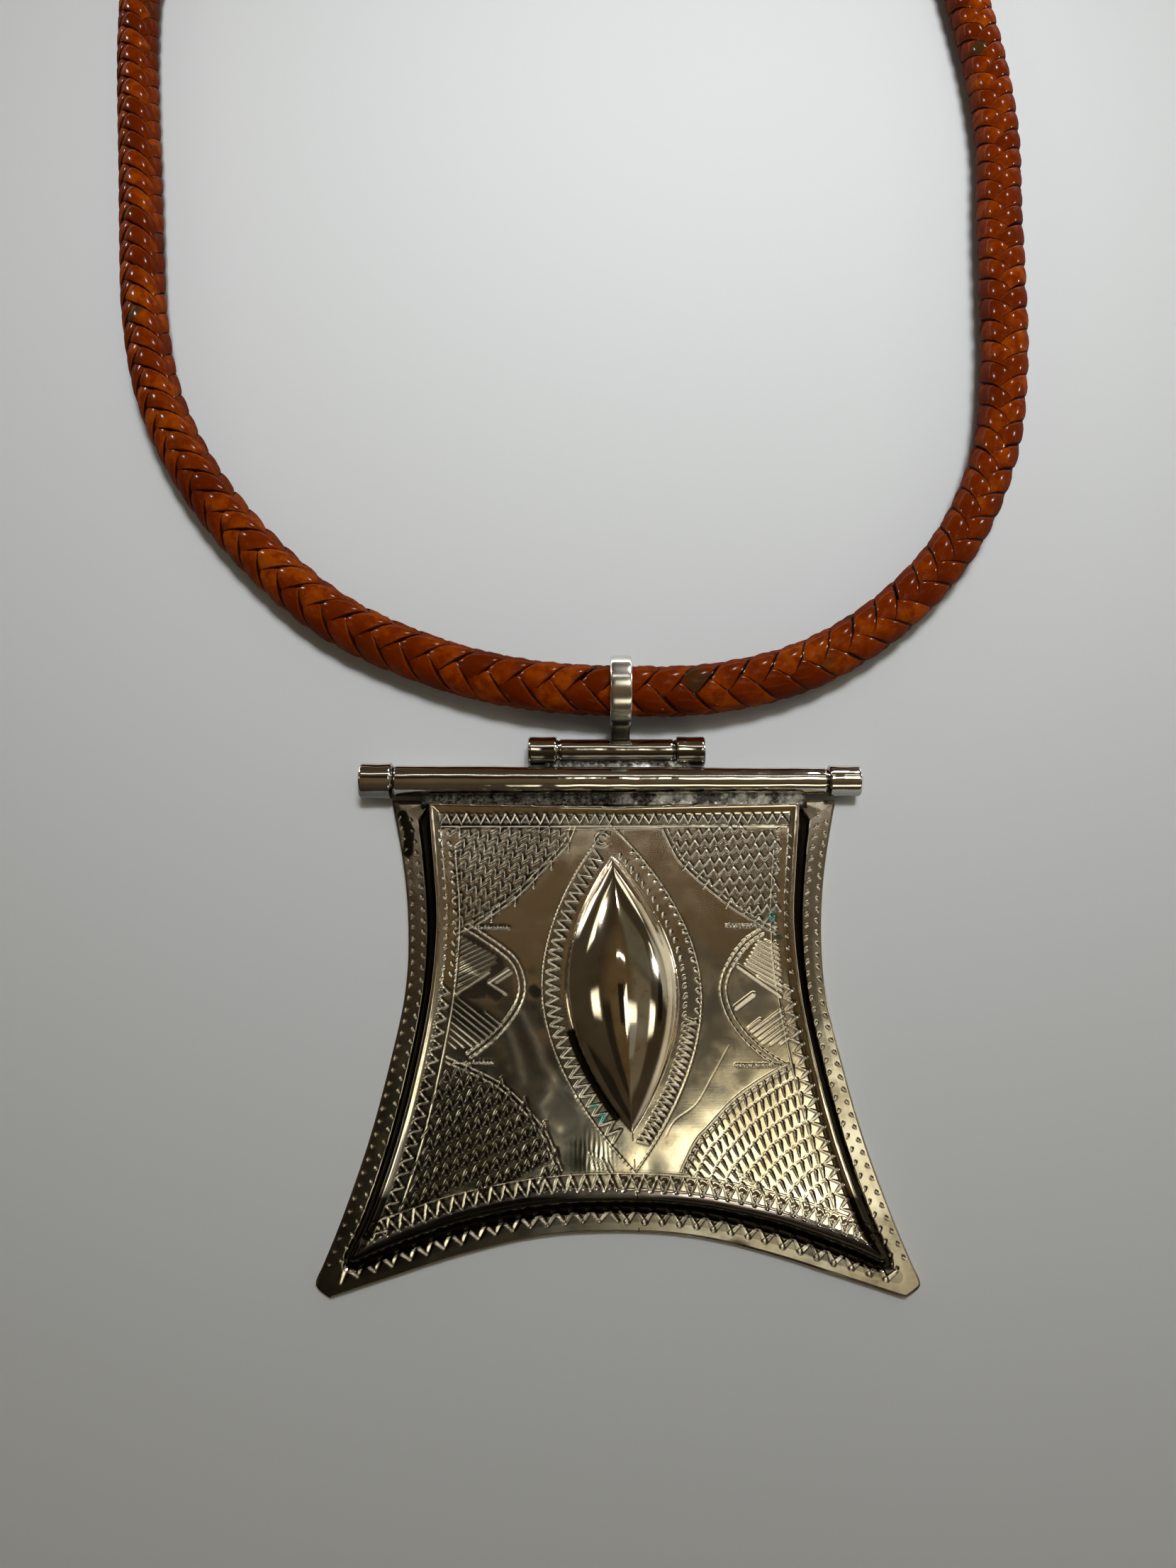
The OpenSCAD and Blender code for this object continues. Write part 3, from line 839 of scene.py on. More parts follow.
def engrave_borders(graver):
    """Teeth along the plate's rim and just inside its ridge, and the lines beside them."""
    side = smooth_way(RIDGE_SIDE)
    foot = smooth_way(RIDGE_FOOT)
    top = np.array([(-23.6, RIDGE_TOP - 1.75), (23.6, RIDGE_TOP - 1.75)], float)
    graver.shade_and_soot(top, wide=1.5, amount=0.75)
    graver.wriggle(top, pitch=1.36, tall=1.35, thin=0.24, thick=0.42, deep=0.16)
    graver.line(top - (0, 1.05), wide=0.3, deep=0.12, black=0.9)
    graver.line([(-6.5, 22.0), (6.5, 22.2)], wide=0.22, deep=0.1, black=0.5)
    for hand in (-1, 1):
        inner = shifted(side, -1.75)[6:-8] * (hand, 1)
        low = inner[inner[:, 1] < 1]
        high = inner[inner[:, 1] >= 1]
        if hand < 0:
            graver.hooks(high, pitch=1.42, tall=0.95, wide=0.34)
            graver.wriggle(low, pitch=1.7, tall=1.25, thin=0.2, thick=0.42, deep=0.18, pits=0.75)
        else:
            graver.hooks(high, pitch=1.6, tall=1.5, wide=0.42)
            graver.wriggle(low, pitch=1.75, tall=1.35, thin=0.16, thick=0.5, deep=0.16)
        graver.line(shifted(side, -3.0)[10:-14] * (hand, 1), wide=0.2, deep=0.08, black=0.5)
        below = shifted(foot, -1.95)[4:] * (hand, 1)
        graver.wriggle(below, pitch=1.6, tall=1.8, thin=0.22, thick=0.4, deep=0.15, pits=0.5)
        graver.line(shifted(foot, -3.1)[8:] * (hand, 1), wide=0.2, deep=0.08, black=0.5)
        # On the rim outside the ridge
        flange = shifted(smooth_way(PLATE_SIDE), -1.35)[4:-2] * (hand, 1)
        # Duller on the left: painted shade
        graver.hooks(flange, pitch=1.6, tall=1.2, wide=0.42, fresh=0.5 if hand < 0 else 1.0)
        skirt = shifted(smooth_way(PLATE_FOOT), -1.95)[4:] * (hand, 1)
        # Painted shade on the rim's foot under its teeth
        graver.shade_and_soot(skirt, wide=1.9, amount=0.8)
        graver.wriggle(skirt, pitch=2.1, tall=1.5, thin=0.42, thick=0.78, deep=0.16)


def engrave_lenses(graver):
    """The two half lenses at the sides, with their hatching, chevrons and beaded lines."""
    for hand, outline in ((-1, LENS_LEFT), (1, LENS_RIGHT)):
        line = smooth_way(outline, 8)
        graver.dashes(line, pitch=0.8, wide=0.36, deep=0.13)
        graver.dashes(shifted(line, -0.75 * hand), pitch=0.8, wide=0.34, deep=0.12)
    for edge, turn, pitch, wide in HATCHES:
        # Dull, dark cuts on the left, a painted shade, and clean bright ones on the right
        black, fresh = (0.9, 0.35) if edge[0][0] < 0 else (0.15, 1.0)
        for spots, held in lines_across(edge, turn, pitch, 6):
            if held.sum() > 4:
                a, b = spots[held][[0, -1]]
                graver.stroke(a, b, start=wide * 0.6, end=wide, deep=0.13, black=black, fresh=fresh)
    for points, wide, amount in DARK_PLACES:
        graver.shade_and_soot(points, wide, amount)
    for points, wide in LENS_BARS:
        graver.line(points, wide, deep=0.14, black=0.3)


def engrave_boss_band(graver, sizes):
    """The band of ticks round the boss, a zigzag between fine lines."""
    left, right = boss_line(sizes, 1.7)
    # Darker ground along the boss's left side: painted shade
    graver.shade_and_soot(left[3:-3], wide=1.7, amount=0.45)
    graver.wriggle(left[3:-3], pitch=1.35, tall=1.6, thin=0.22, thick=0.4, deep=0.16)
    graver.hooks(right[3:38], pitch=1.3, tall=1.5, wide=0.5)
    graver.wriggle(right[36:-2], pitch=0.8, tall=1.3, thin=0.36, thick=0.5, deep=0.15, black=0.6)
    for line in boss_line(sizes, 2.95):
        graver.dashes(line, pitch=0.6, wide=0.24, deep=0.09)
    # Painted shadow in the gap at the foot of the boss's lower left side
    graver.shade_and_soot(boss_line(sizes, 0.35)[0][38:56], wide=1.05, amount=1.0)


def build_chart(sizes):
    """The front sheet's marks, with the soot round them, heavier on the left as painted shade and thinner at
    the lower right as a painted highlight.
    """
    graver = Graver()
    engrave(graver, sizes)
    rows, columns = graver.depth.shape
    x = CHART_LOW[0] + np.arange(columns)[None] * CHART_STEP
    y = CHART_LOW[1] + np.arange(rows)[:, None] * CHART_STEP
    # Less soot at the lower right and in the right half lens, a painted highlight where the glare falls; more
    # along the left, a painted shade
    painted_glare = np.clip((x - 7) / 5, 0, 1) * np.clip((-y - 7) / 5, 0, 1)
    painted_glare = np.maximum(painted_glare, 0.9 * np.exp(-(((x - 19.5) / 3.2) ** 4) - ((y - 2.8) / 4.2) ** 4))
    low, high = np.clip((-y - 8) / 4, 0, 1), np.clip((y - 6) / 4, 0, 1)
    left_shade = np.clip((-x - 6) / 4, 0, 1) * np.maximum(low, 0.95 * high)
    wash = spread_out(np.maximum(graver.black, graver.fresh), 9) * (2.4 + 1.5 * left_shade) - 0.1
    wash = np.clip(wash, 0, 0.85 + 0.14 * left_shade)
    soot = np.maximum(wash * (1 - 0.9 * painted_glare), graver.soot)
    graver.black = np.maximum(graver.black, soot * (1 - graver.fresh))
    graver.depth = soften(graver.depth, 1)
    return graver


def spread_out(chart, reach):
    """The mean of a map over a square round each point."""
    for axis in (0, 1):
        sums = np.cumsum(np.insert(chart, 0, 0, axis=axis), axis=axis)
        sums = np.roll(sums, -reach, axis) - np.roll(sums, reach, axis)
        chart = np.delete(sums, -1, axis=axis) / (2 * reach)
    return chart


def front_height(x, y, graver, sizes):
    """Height of the front sheet at each place, with its oxide and painted shade, clean metal and painted
    glints, polish and verdigris.
    """
    left, right, foot, top = plate_edges()
    outline = np.vstack([foot, right[1:], top[::-1][1:], left[::-1][1:]])
    ridge = ridge_line()
    out = off_line(x, y, outline)
    rim = off_line(x, y, np.vstack([ridge, ridge[:1]]))
    within = inside(x, y, ridge)
    share = out / np.maximum(out + rim, 1e-6)
    z = np.where(within, np.interp(rim, *PANEL_HEIGHTS), np.interp(share, *RIM_HEIGHTS))
    for dx, dy, radius, depth in DENTS:
        z = z - depth * np.exp(-((x - dx) ** 2 + (y - dy) ** 2) / radius**2)
    # The boss, whose two sides differ and turn into a plain gable near its tips
    u, full = boss_place(x, y, sizes)
    spread = np.clip(np.abs(u), 0, 1)
    sides = np.where(u > 0, boss_side(BOSS_RIGHT, spread), boss_side(BOSS_LEFT, spread))
    gable = (1 - spread) ** 0.9
    dome = (sides + (gable - sides) * (1 - full) ** 1.5) * full**0.85
    z = z + dome * sizes.boss_height / MM
    swirl = np.zeros(x.shape)
    for points, wide, high in CREASES:
        crease = np.exp(-((off_line(x, y, points) / wide) ** 2))
        z = z + high * crease
        swirl = np.maximum(swirl, crease)
    # Fine ripples under the boss's foot
    flutes = np.exp(-(((x + 2.6) / 2.0) ** 2) - ((y + 20.4) / 1.9) ** 2)
    z = z + 0.006 * flutes * np.sin(x * 11 + 0.6 * np.sin(y * 2 + x * 3))
    depth, black, fresh = graver.read(x, y)
    # Painted shade: black along the ridge's foot, inside and out, at the plate's bottom, the flange darker to
    # the left and towards the foot, and all over in the groove beside the ridge
    roll = np.clip((1.3 - rim) * 3, 0, 1) * within + (share > 0.955) * (1 - within)
    black = np.maximum(black, roll * np.clip((-y - 24.0) / 1.5, 0, 1) * 0.99)
    low = np.clip((-y - 26) / 2, 0, 1)
    flange_shade = np.interp(x, [-8, 8], [0.65, 0.45]) + low * np.interp(x, [-8, 8], [0.2, 0.25])
    black = np.maximum(black, flange_shade * (share < 0.6) * (1 - within) * (1 - fresh))
    black = black * (1 - 0.8 * swirl)
    fresh = np.maximum(fresh, 0.14 * swirl)
    groove = ((share > np.where(y < -22, 0.67, 0.60)) & (share < 0.955) & ~within) * 1.0
    black = np.maximum(black, groove)
    calm = np.clip((1.0 - np.abs(u)) * 8, 0, 1)
    green = np.zeros(x.shape)
    for dx, dy, radius, strength in VERDIGRIS:
        green = np.maximum(green, strength * np.exp(-((x - dx) ** 2 + (y - dy) ** 2) / radius**2))
    return z - depth, {"oxide_and_shade": black, "fresh": fresh * (1 - black), "polish": calm, "green": green}


def grid_of(edges, columns, rows):
    """A grid of places that fills four edges: left, right, foot and top."""
    left, right, foot, top = [even(edge, count) for edge, count in zip(edges, (rows, rows, columns, columns))]
    u = np.linspace(0, 1, columns)[None, :, None]
    v = np.linspace(0, 1, rows)[:, None, None]
    sides = (1 - u) * left[:, None] + u * right[:, None]
    ends = (1 - v) * foot[None] + v * top[None]
    corners = (1 - u) * (1 - v) * foot[0] + u * (1 - v) * foot[-1] + (1 - u) * v * top[0] + u * v * top[-1]
    return sides + ends - corners


def grid_normals(points):
    """The surface's direction at each point of a grid."""
    along = np.gradient(points, axis=1)
    up = np.gradient(points, axis=0)
    found = np.cross(along, up)
    return found / np.linalg.norm(found, axis=-1, keepdims=True)


def block(points, marks, base, name, chosen=None):
    """A closed block under all or the chosen squares of a grid, with the grid's own shading on top."""
    rows, columns = points.shape[:2]
    if chosen is None:
        chosen = np.ones((rows - 1, columns - 1), bool)
    index = np.arange(rows * columns).reshape(rows, columns)
    squares = np.stack([index[:-1, :-1], index[:-1, 1:], index[1:, 1:], index[1:, :-1]], -1)[chosen]
    used, flat = np.unique(squares, return_inverse=True)
    flat = flat.reshape(-1, 4)
    count = len(used)
    # The rim is made of the edges that only one square has
    edges = np.concatenate([flat[:, [k, (k + 1) % 4]] for k in range(4)])
    keys = edges.min(1) * count + edges.max(1)
    first, number = np.unique(keys, return_index=True, return_counts=True)[1:]
    rim = edges[first[number == 1]]
    after = dict(rim.tolist())
    loop = [int(rim[0, 0])]
    while after[loop[-1]] != loop[0]:
        loop.append(after[loop[-1]])
    n = len(loop)
    top = points.reshape(-1, 3)[used]
    wall_top = top[loop]
    wall_foot = wall_top.copy()
    wall_foot[:, 2] = base
    verts = np.vstack([top, wall_top, wall_foot]) * MM
    here, there = np.arange(n), (np.arange(n) + 1) % n
    walls = np.stack([count + there, count + here, count + n + here, count + n + there], -1)
    faces = flat.tolist() + walls.tolist() + [(count + n + here[::-1]).tolist()]
    mesh = bpy.data.meshes.new(name)
    mesh.from_pydata(verts.tolist(), [], faces)
    mesh.update()
    mesh.shade_smooth()
    mesh.polygons[len(mesh.polygons) - 1].use_smooth = False
    shade = np.zeros((len(verts), 3))
    shade[:count] = grid_normals(points).reshape(-1, 3)[used]
    ahead = wall_top[there] - wall_top[here]
    shade[count : count + n, 0] = ahead[:, 1]
    shade[count : count + n, 1] = -ahead[:, 0]
    shade[count + n :] = shade[count : count + n]
    shade = shade / np.maximum(np.linalg.norm(shade, axis=1, keepdims=True), 1e-9)
    mesh.normals_split_custom_set_from_vertices(shade.tolist())
    for label, chart in marks.items():
        values = np.zeros(len(verts), np.float32)
        values[:count] = chart.reshape(-1)[used]
        if label == "oxide_and_shade":
            values[count : count + n] = EDGE_OXIDE
        mesh.attributes.new(label, "FLOAT", "POINT").data.foreach_set("value", values)
    return show(mesh, name)


def skinned(rings, name, ends):
    """A smooth closed mesh over rings of points, whose ends are "joined", "capped" or "welded"."""
    count, sides = rings.shape[:2]
    index = np.arange(count * sides).reshape(count, sides)
    here, ahead = (index, np.roll(index, -1, axis=0)) if ends == "joined" else (index[:-1], index[1:])
    faces = np.stack([here, np.roll(here, -1, 1), np.roll(ahead, -1, 1), ahead], -1).reshape(-1, 4).tolist()
    if ends == "capped":
        faces += [index[0][::-1].tolist(), index[-1].tolist()]
    mesh = bpy.data.meshes.new(name)
    mesh.from_pydata((rings.reshape(-1, 3) * MM).tolist(), [], faces)
    bm = bmesh.new()
    bm.from_mesh(mesh)
    if ends == "welded":
        bmesh.ops.remove_doubles(bm, verts=bm.verts, dist=1e-7)
        bmesh.ops.holes_fill(bm, edges=[e for e in bm.edges if e.is_boundary])
    bmesh.ops.recalc_face_normals(bm, faces=bm.faces)
    bm.to_mesh(mesh)
    bm.free()
    mesh.shade_smooth()
    return show(mesh, name)


def turned(profile, start, name, sides):
    """A closed shape turned about a line along x: profile holds (along, radius) and ends where it starts."""
    profile = np.array(profile, float)
    angles = np.arange(sides) * 2 * math.pi / sides
    ring = np.stack([np.zeros(sides), np.cos(angles), np.sin(angles)], 1)
    rings = start + profile[:, None, :1] * (1, 0, 0) + profile[:, None, 1:] * ring
    return skinned(rings, name, "welded")


# Settings


class CordSettings(bpy.types.PropertyGroup):
    """Sizes and colours of the plaited cord"""

    lay: FloatProperty(
        name="Lay", description="Length of one full turn of a strand", default=0.0179, unit="LENGTH"
    )
    core: FloatProperty(name="Core", description="Middle radius of the plait", default=0.00305, unit="LENGTH")
    rise: FloatProperty(
        name="Rise", description="How far a strand climbs over the others", default=0.00034, unit="LENGTH"
    )
    width: FloatProperty(
        name="Strand width", description="Width of one strand", default=0.0037, unit="LENGTH"
    )
    thickness: FloatProperty(
        name="Strand thickness", description="Thickness of one strand", default=0.0007, unit="LENGTH"
    )
    step: FloatProperty(
        name="Ring step", description="Distance between rings of points", default=0.00076, unit="LENGTH"
    )
    leather: FloatVectorProperty(
        name="Leather", description="Main leather colour", default=(0.165, 0.0220, 0.0004), subtype="COLOR"
    )
    deep: FloatVectorProperty(
        name="Deep leather",
        description="Darker red-brown patches",
        default=(0.088, 0.0100, 0.0002),
        subtype="COLOR",
    )
    amber: FloatVectorProperty(
        name="Amber", description="Lighter worn leather", default=(0.265, 0.052, 0.0010), subtype="COLOR"
    )
    stain: FloatVectorProperty(
        name="Stain", description="Dark olive stains", default=(0.030, 0.020, 0.006), subtype="COLOR"
    )
    # Colour of the painted shade between the strands and under the crossings
    seam: FloatVectorProperty(
        name="Seam", description="Dirt between the strands", default=(0.010, 0.002, 0.001), subtype="COLOR"
    )


class SilverSettings(bpy.types.PropertyGroup):
    """Sizes and colours of the silver plate"""

    boss_length: FloatProperty(
        name="Boss length", description="Length of the raised boss", default=0.036, unit="LENGTH"
    )
    boss_width: FloatProperty(
        name="Boss width", description="Width of the raised boss", default=0.0146, unit="LENGTH"
    )
    boss_height: FloatProperty(
        name="Boss height", description="Height of the boss above the panel", default=0.0042, unit="LENGTH"
    )
    boss_turn: FloatProperty(name="Boss turn", description="How far the boss leans, in degrees", default=3.5)
    fineness: FloatProperty(
        name="Fineness",
        description="Distance between the front sheet's points",
        default=0.000125,
        unit="LENGTH",
    )
    silver: FloatVectorProperty(
        name="Silver", description="Clean metal", default=(0.84, 0.78, 0.66), subtype="COLOR"
    )
    bright: FloatVectorProperty(
        name="Bright silver", description="Metal of the tubes", default=(0.88, 0.87, 0.83), subtype="COLOR"
    )
    tarnish: FloatVectorProperty(
        name="Tarnish", description="Warm tarnish", default=(0.54, 0.43, 0.28), subtype="COLOR"
    )
    # Clean cut metal, also the colour of the painted glints on the cuts' wide walls
    fresh: FloatVectorProperty(
        name="Fresh cut", description="Bright metal in the cuts", default=(1.0, 0.90, 0.68), subtype="COLOR"
    )
    soot: FloatVectorProperty(
        name="Soot", description="Dark specks", default=(0.10, 0.075, 0.045), subtype="COLOR"
    )
    # Black oxide, also the colour of painted shade on the cuts' steep walls, in the groove, on the lower
    # tubes and on the bail
    oxide_and_shade: FloatVectorProperty(
        name="Oxide", description="Black oxide in the cuts", default=(0.012, 0.009, 0.006), subtype="COLOR"
    )
    green: FloatVectorProperty(
        name="Verdigris", description="Green corrosion", default=(0.10, 0.36, 0.32), subtype="COLOR"
    )


class StageSettings(bpy.types.PropertyGroup):
    """Floor, lights and camera"""

    floor: FloatVectorProperty(
        name="Floor", description="Floor colour", default=(0.51, 0.53, 0.548), subtype="COLOR"
    )
    camera_tilt: FloatProperty(name="Camera tilt", description="Tilt from straight down", default=22.3)
    lens: FloatProperty(
        name="Lens", description="Focal length in millimetres on a 36 mm sensor", default=27.05
    )


# Operators


class NECKLACE_OT_cord(bpy.types.Operator):
    """Plait the eight-strand leather cord along its way"""

    bl_idname = "necklace.cord"
    bl_label = "Leather cord"

    def execute(self, context):
        sizes = context.scene.necklace_cord
        leather = leather_finish(sizes)
        way = smooth_way(CORD_WAY, 16)
        # The curve carries the plait's turn as its tilt and the plait's fullness as its radius
        line = bpy.data.curves.new("cord_way", "CURVE")
        line.dimensions = "3D"
        spline = line.splines.new("POLY")
        spline.points.add(len(way) - 1)
        for point, (x, y, z, turn, full) in zip(spline.points, way):
            point.co = (x * MM, y * MM, z * MM, 1.0)
            point.tilt = math.radians(turn)
            point.radius = full
        carrier = show(line, "cord_way")
        values = {
            "Lay": sizes.lay,
            "Core": sizes.core,
            "Rise": sizes.rise,
            "Strand width": sizes.width,
            "Strand thickness": sizes.thickness,
            "Ring step": sizes.step,
            "Leather": leather,
        }
        plait = run_steps(carrier, plait_steps(), values, "leather_plait")
        keep(plait, "leather_cord")
        return {"FINISHED"}


def plait_steps():
    """Eight strands that cross over two and under two, wound both ways round the cord's way."""
    tree = new_steps(
        "Plait",
        [
            ("Lay", "NodeSocketFloat", 0.0179),
            ("Core", "NodeSocketFloat", 0.00305),
            ("Rise", "NodeSocketFloat", 0.00034),
            ("Strand width", "NodeSocketFloat", 0.0037),
            ("Strand thickness", "NodeSocketFloat", 0.0007),
            ("Ring step", "NodeSocketFloat", 0.00076),
            ("Strands", "NodeSocketInt", 8),
            ("Sides", "NodeSocketInt", 14),
            ("Seed", "NodeSocketFloat", 3.0),
            ("Leather", "NodeSocketMaterial", None),
        ],
    )
    given = node(tree, "NodeGroupInput").outputs
    names = ("Lay", "Core", "Rise", "Strand width", "Strand thickness")
    lay, core, rise, width, thickness = [Sum(tree, given[name]) for name in names]
    length = Sum(tree, node(tree, "GeometryNodeCurveLength", {0: given["Geometry"]}).outputs[0])
    rings = (length / given["Ring step"]).whole()
    # One straight strand as long as the way, copied in place; each copy knows its own number
    sizes = {"Vertices": given["Sides"], "Side Segments": rings, "Radius": 1.0, "Depth": length}
    strand = node(tree, "GeometryNodeMeshCylinder", sizes, fill_type="NGON")
    spots = node(tree, "GeometryNodeMeshLine", {"Count": given["Strands"], "Offset": (0.0, 0.0, 0.0)})
    joined = {"Points": spots.outputs[0], "Instance": strand.outputs["Mesh"]}
    copies = node(tree, "GeometryNodeInstanceOnPoints", joined)
    index = node(tree, "GeometryNodeInputIndex").outputs[0]
    numbered = stored(tree, copies.outputs[0], "strand", index, "INSTANCE")
    real = node(tree, "GeometryNodeRealizeInstances", {0: numbered}).outputs[0]
    x, y, z = parts(tree, node(tree, "GeometryNodeInputPosition").outputs[0])
    number = Sum(tree, node(tree, "GeometryNodeInputNamedAttribute", {"Name": "strand"}).outputs[0])
    # Every other strand is wound the other way; wobble makes them all a little uneven
    hand = number.rest(2.0) * -2.0 + 1.0
    along = z + length * 0.5
    wander = vector(tree, along * 60.0, number * 9.1, given["Seed"])
    wobble = noise(tree, wander, scale=1.0, detail=1.0, rough=0.5) - 0.5
    angle = hand * along / lay * (2 * math.pi) + (number / 2.0).whole() * (math.pi / 2)
    angle = angle + (hand * -0.5 + 0.5) * (math.pi / 4) + wobble * 0.28
    # Over two and under two, with short crossings between
    wave = ((angle * 2.0).cosine() * 2.6).maths("TANH") * hand
    slant = math.radians(49.0)
    half = width * (wobble * 0.16 + 0.5)
    place = along + hand * x * half * math.sin(slant)
    place = place.maths("MAXIMUM", 0.0).maths("MINIMUM", length)
    about = angle - x * half * math.cos(slant) / (core + rise)
    crown = (x.size().power(3.0) * -1.0 + 1.0).maths("MAXIMUM", 0.0).power(0.5)
    section = y.maths("SIGN") * crown * thickness * 0.5
    belly = x.power(2.0) * thickness * 0.16
    radius = core + rise * wave + section + wobble * thickness * 0.1 - belly
    follow = {"Curves": given["Geometry"], "Length": place}
    follow["Value"] = node(tree, "GeometryNodeInputCurveTilt").outputs[0]
    sample = node(tree, "GeometryNodeSampleCurve", follow, mode="LENGTH", use_all_curves=True)
    follow["Value"] = node(tree, "GeometryNodeInputRadius").outputs[0]
    full = node(tree, "GeometryNodeSampleCurve", follow, mode="LENGTH", use_all_curves=True)
    radius = radius * Sum(tree, full.outputs["Value"])
    ahead = sample.outputs["Tangent"]
    side = vectors(tree, "NORMALIZE", vectors(tree, "CROSS_PRODUCT", ahead, (0.0, 0.0, 1.0)))
    up = vectors(tree, "CROSS_PRODUCT", side, ahead)
    turn = about + Sum(tree, sample.outputs["Value"]) + math.pi / 4
    out = vectors(
        tree, "ADD", scaled(tree, up, turn.cosine() * radius), scaled(tree, side, turn.sine() * radius)
    )
    at = vectors(tree, "ADD", sample.outputs["Position"], out)
    marked = real
    for name, value in (("across", x), ("along", along), ("rise", wave)):
        marked = stored(tree, marked, name, value, "POINT")
    moved = node(tree, "GeometryNodeSetPosition", {"Geometry": marked, "Position": at}).outputs[0]
    smooth = node(tree, "GeometryNodeSetShadeSmooth", {0: moved}).outputs[0]
    dressed = node(tree, "GeometryNodeSetMaterial", {"Geometry": smooth, "Material": given["Leather"]})
    output = node(tree, "NodeGroupOutput")
    tree.links.new(dressed.outputs[0], output.inputs[0])
    return tree


def stored(tree, geometry, name, value, domain):
    """Writes a named number onto the geometry."""
    made = node(tree, "GeometryNodeStoreNamedAttribute", data_type="FLOAT", domain=domain)
    feed(tree, made.inputs["Geometry"], geometry)
    made.inputs["Name"].default_value = name
    feed(tree, made.inputs["Value"], value)
    return made.outputs[0]


class NECKLACE_OT_plate(bpy.types.Operator):
    """Raise and engrave the plate's front sheet over its back sheet"""

    bl_idname = "necklace.plate"
    bl_label = "Engraved plate"

    def execute(self, context):
        sizes = context.scene.necklace_silver
        finish = silver_finish("old_silver", sizes, sizes.silver)
        graver = build_chart(sizes)
        columns, rows = [int(span / (sizes.fineness / MM)) for span in PLATE_SPAN]
        places = grid_of(plate_edges(), columns, rows)
        height, marks = front_height(places[..., 0], places[..., 1], graver, sizes)
        points = np.dstack([places, height])
        # The front sheet is one grid, cut into four pieces
        across = np.arange(columns - 1)[None] / (columns - 1)
        upward = np.arange(rows - 1)[:, None] / (rows - 1)
        names = ("front_foot_left", "front_foot_right", "front_top_left", "front_top_right")
        for k, name in enumerate(names):
            chosen = ((across >= 0.5) == (k % 2 == 1)) & ((upward >= 0.5) == (k > 1))
            keep(block(points, marks, FRONT_FOOT, name, chosen), "amulet", finish)
        edge = grid_of(plate_edges(), columns=60, rows=60)
        flat = np.dstack([edge, np.full(edge.shape[:2], BACK_TOP)])
        back = block(flat, {"oxide_and_shade": np.zeros(edge.shape[:2])}, 0.0, "back_sheet")
        keep(back, "amulet", finish)
        return {"FINISHED"}


def tube_profile(long, left, right, collar, dice):
    """A rolled tube's outside and bore, as (along, radius), with a collar and a groove at each end."""
    lip, groove, deep = 0.35, 0.55, 0.22
    slow = dice.uniform(-1, 1, 9)
    outer = []
    for along in np.linspace(0, long, int(long / 0.16)):
        radius = left + (right - left) * along / long
        near = min(along, long - along)
        radius += 0.035 * float(np.interp(along, np.linspace(0, long, 9), slow))
        if near < collar:
            radius += lip - 0.06 * math.sin(near / collar * math.pi) ** 2
        elif near < collar + groove:
            radius -= deep * math.sin((near - collar) / groove * math.pi)
        radius -= 0.22 * max(0.0, 1 - near / 0.35) ** 2
        outer.append((along, radius))
    bore = [(long - 0.1, 1.25), (long - 0.5, 1.2), (long * 0.5, 1.2), (0.5, 1.2), (0.1, 1.25)]
    far, near = (long - 0.02, outer[-1][1] - 0.2), (0.02, outer[0][1] - 0.2)
    return outer + [far] + bore + [near] + outer[:1]


def strap(places, power):
    """Rings of a domed strip along x: places hold each ring's middle, its way up, its width and thickness."""
    angles = (np.arange(32) + 0.5) * 2 * math.pi / 32
    across = np.sign(np.cos(angles)) * np.abs(np.cos(angles)) ** (2 / power)
    over = np.sign(np.sin(angles)) * np.abs(np.sin(angles)) ** (2 / power)
    rings = []
    for middle, up, wide, thick in places:
        u, v = across[:, None] * wide / 2, over[:, None] * thick / 2
        rings.append(np.array(middle) + u * (1.0, 0.0, 0.0) + v * up)
    return np.array(rings)


def rough_run(low, high, base, top, name, dice):
    """A strip of flooded solder with a rough, crusted top."""
    step, edge = 0.16, 0.4
    columns = int((high[0] - low[0]) / step) + 1
    rows = max(int((high[1] - low[1]) / step) + 1, 4)
    x, y = np.meshgrid(np.linspace(low[0], high[0], columns), np.linspace(low[1], high[1], rows))
    crust = soften(dice.uniform(-1, 1, x.shape), 1) * 0.22 + soften(dice.uniform(-1, 1, x.shape), 6) * 0.5
    near = np.minimum.reduce([x - low[0], high[0] - x, (y - low[1]) * 2.0, (high[1] - y) * 2.0])
    inward = np.clip(near / edge, 0, 1)
    z = base + (top - base) * inward**0.5 + crust * inward
    points = np.dstack([x, y, np.minimum(z, top + 0.3)])
    return block(points, {"oxide_and_shade": np.clip(crust * -2.0 + 0.1, 0, 0.7)}, base - 0.05, name)


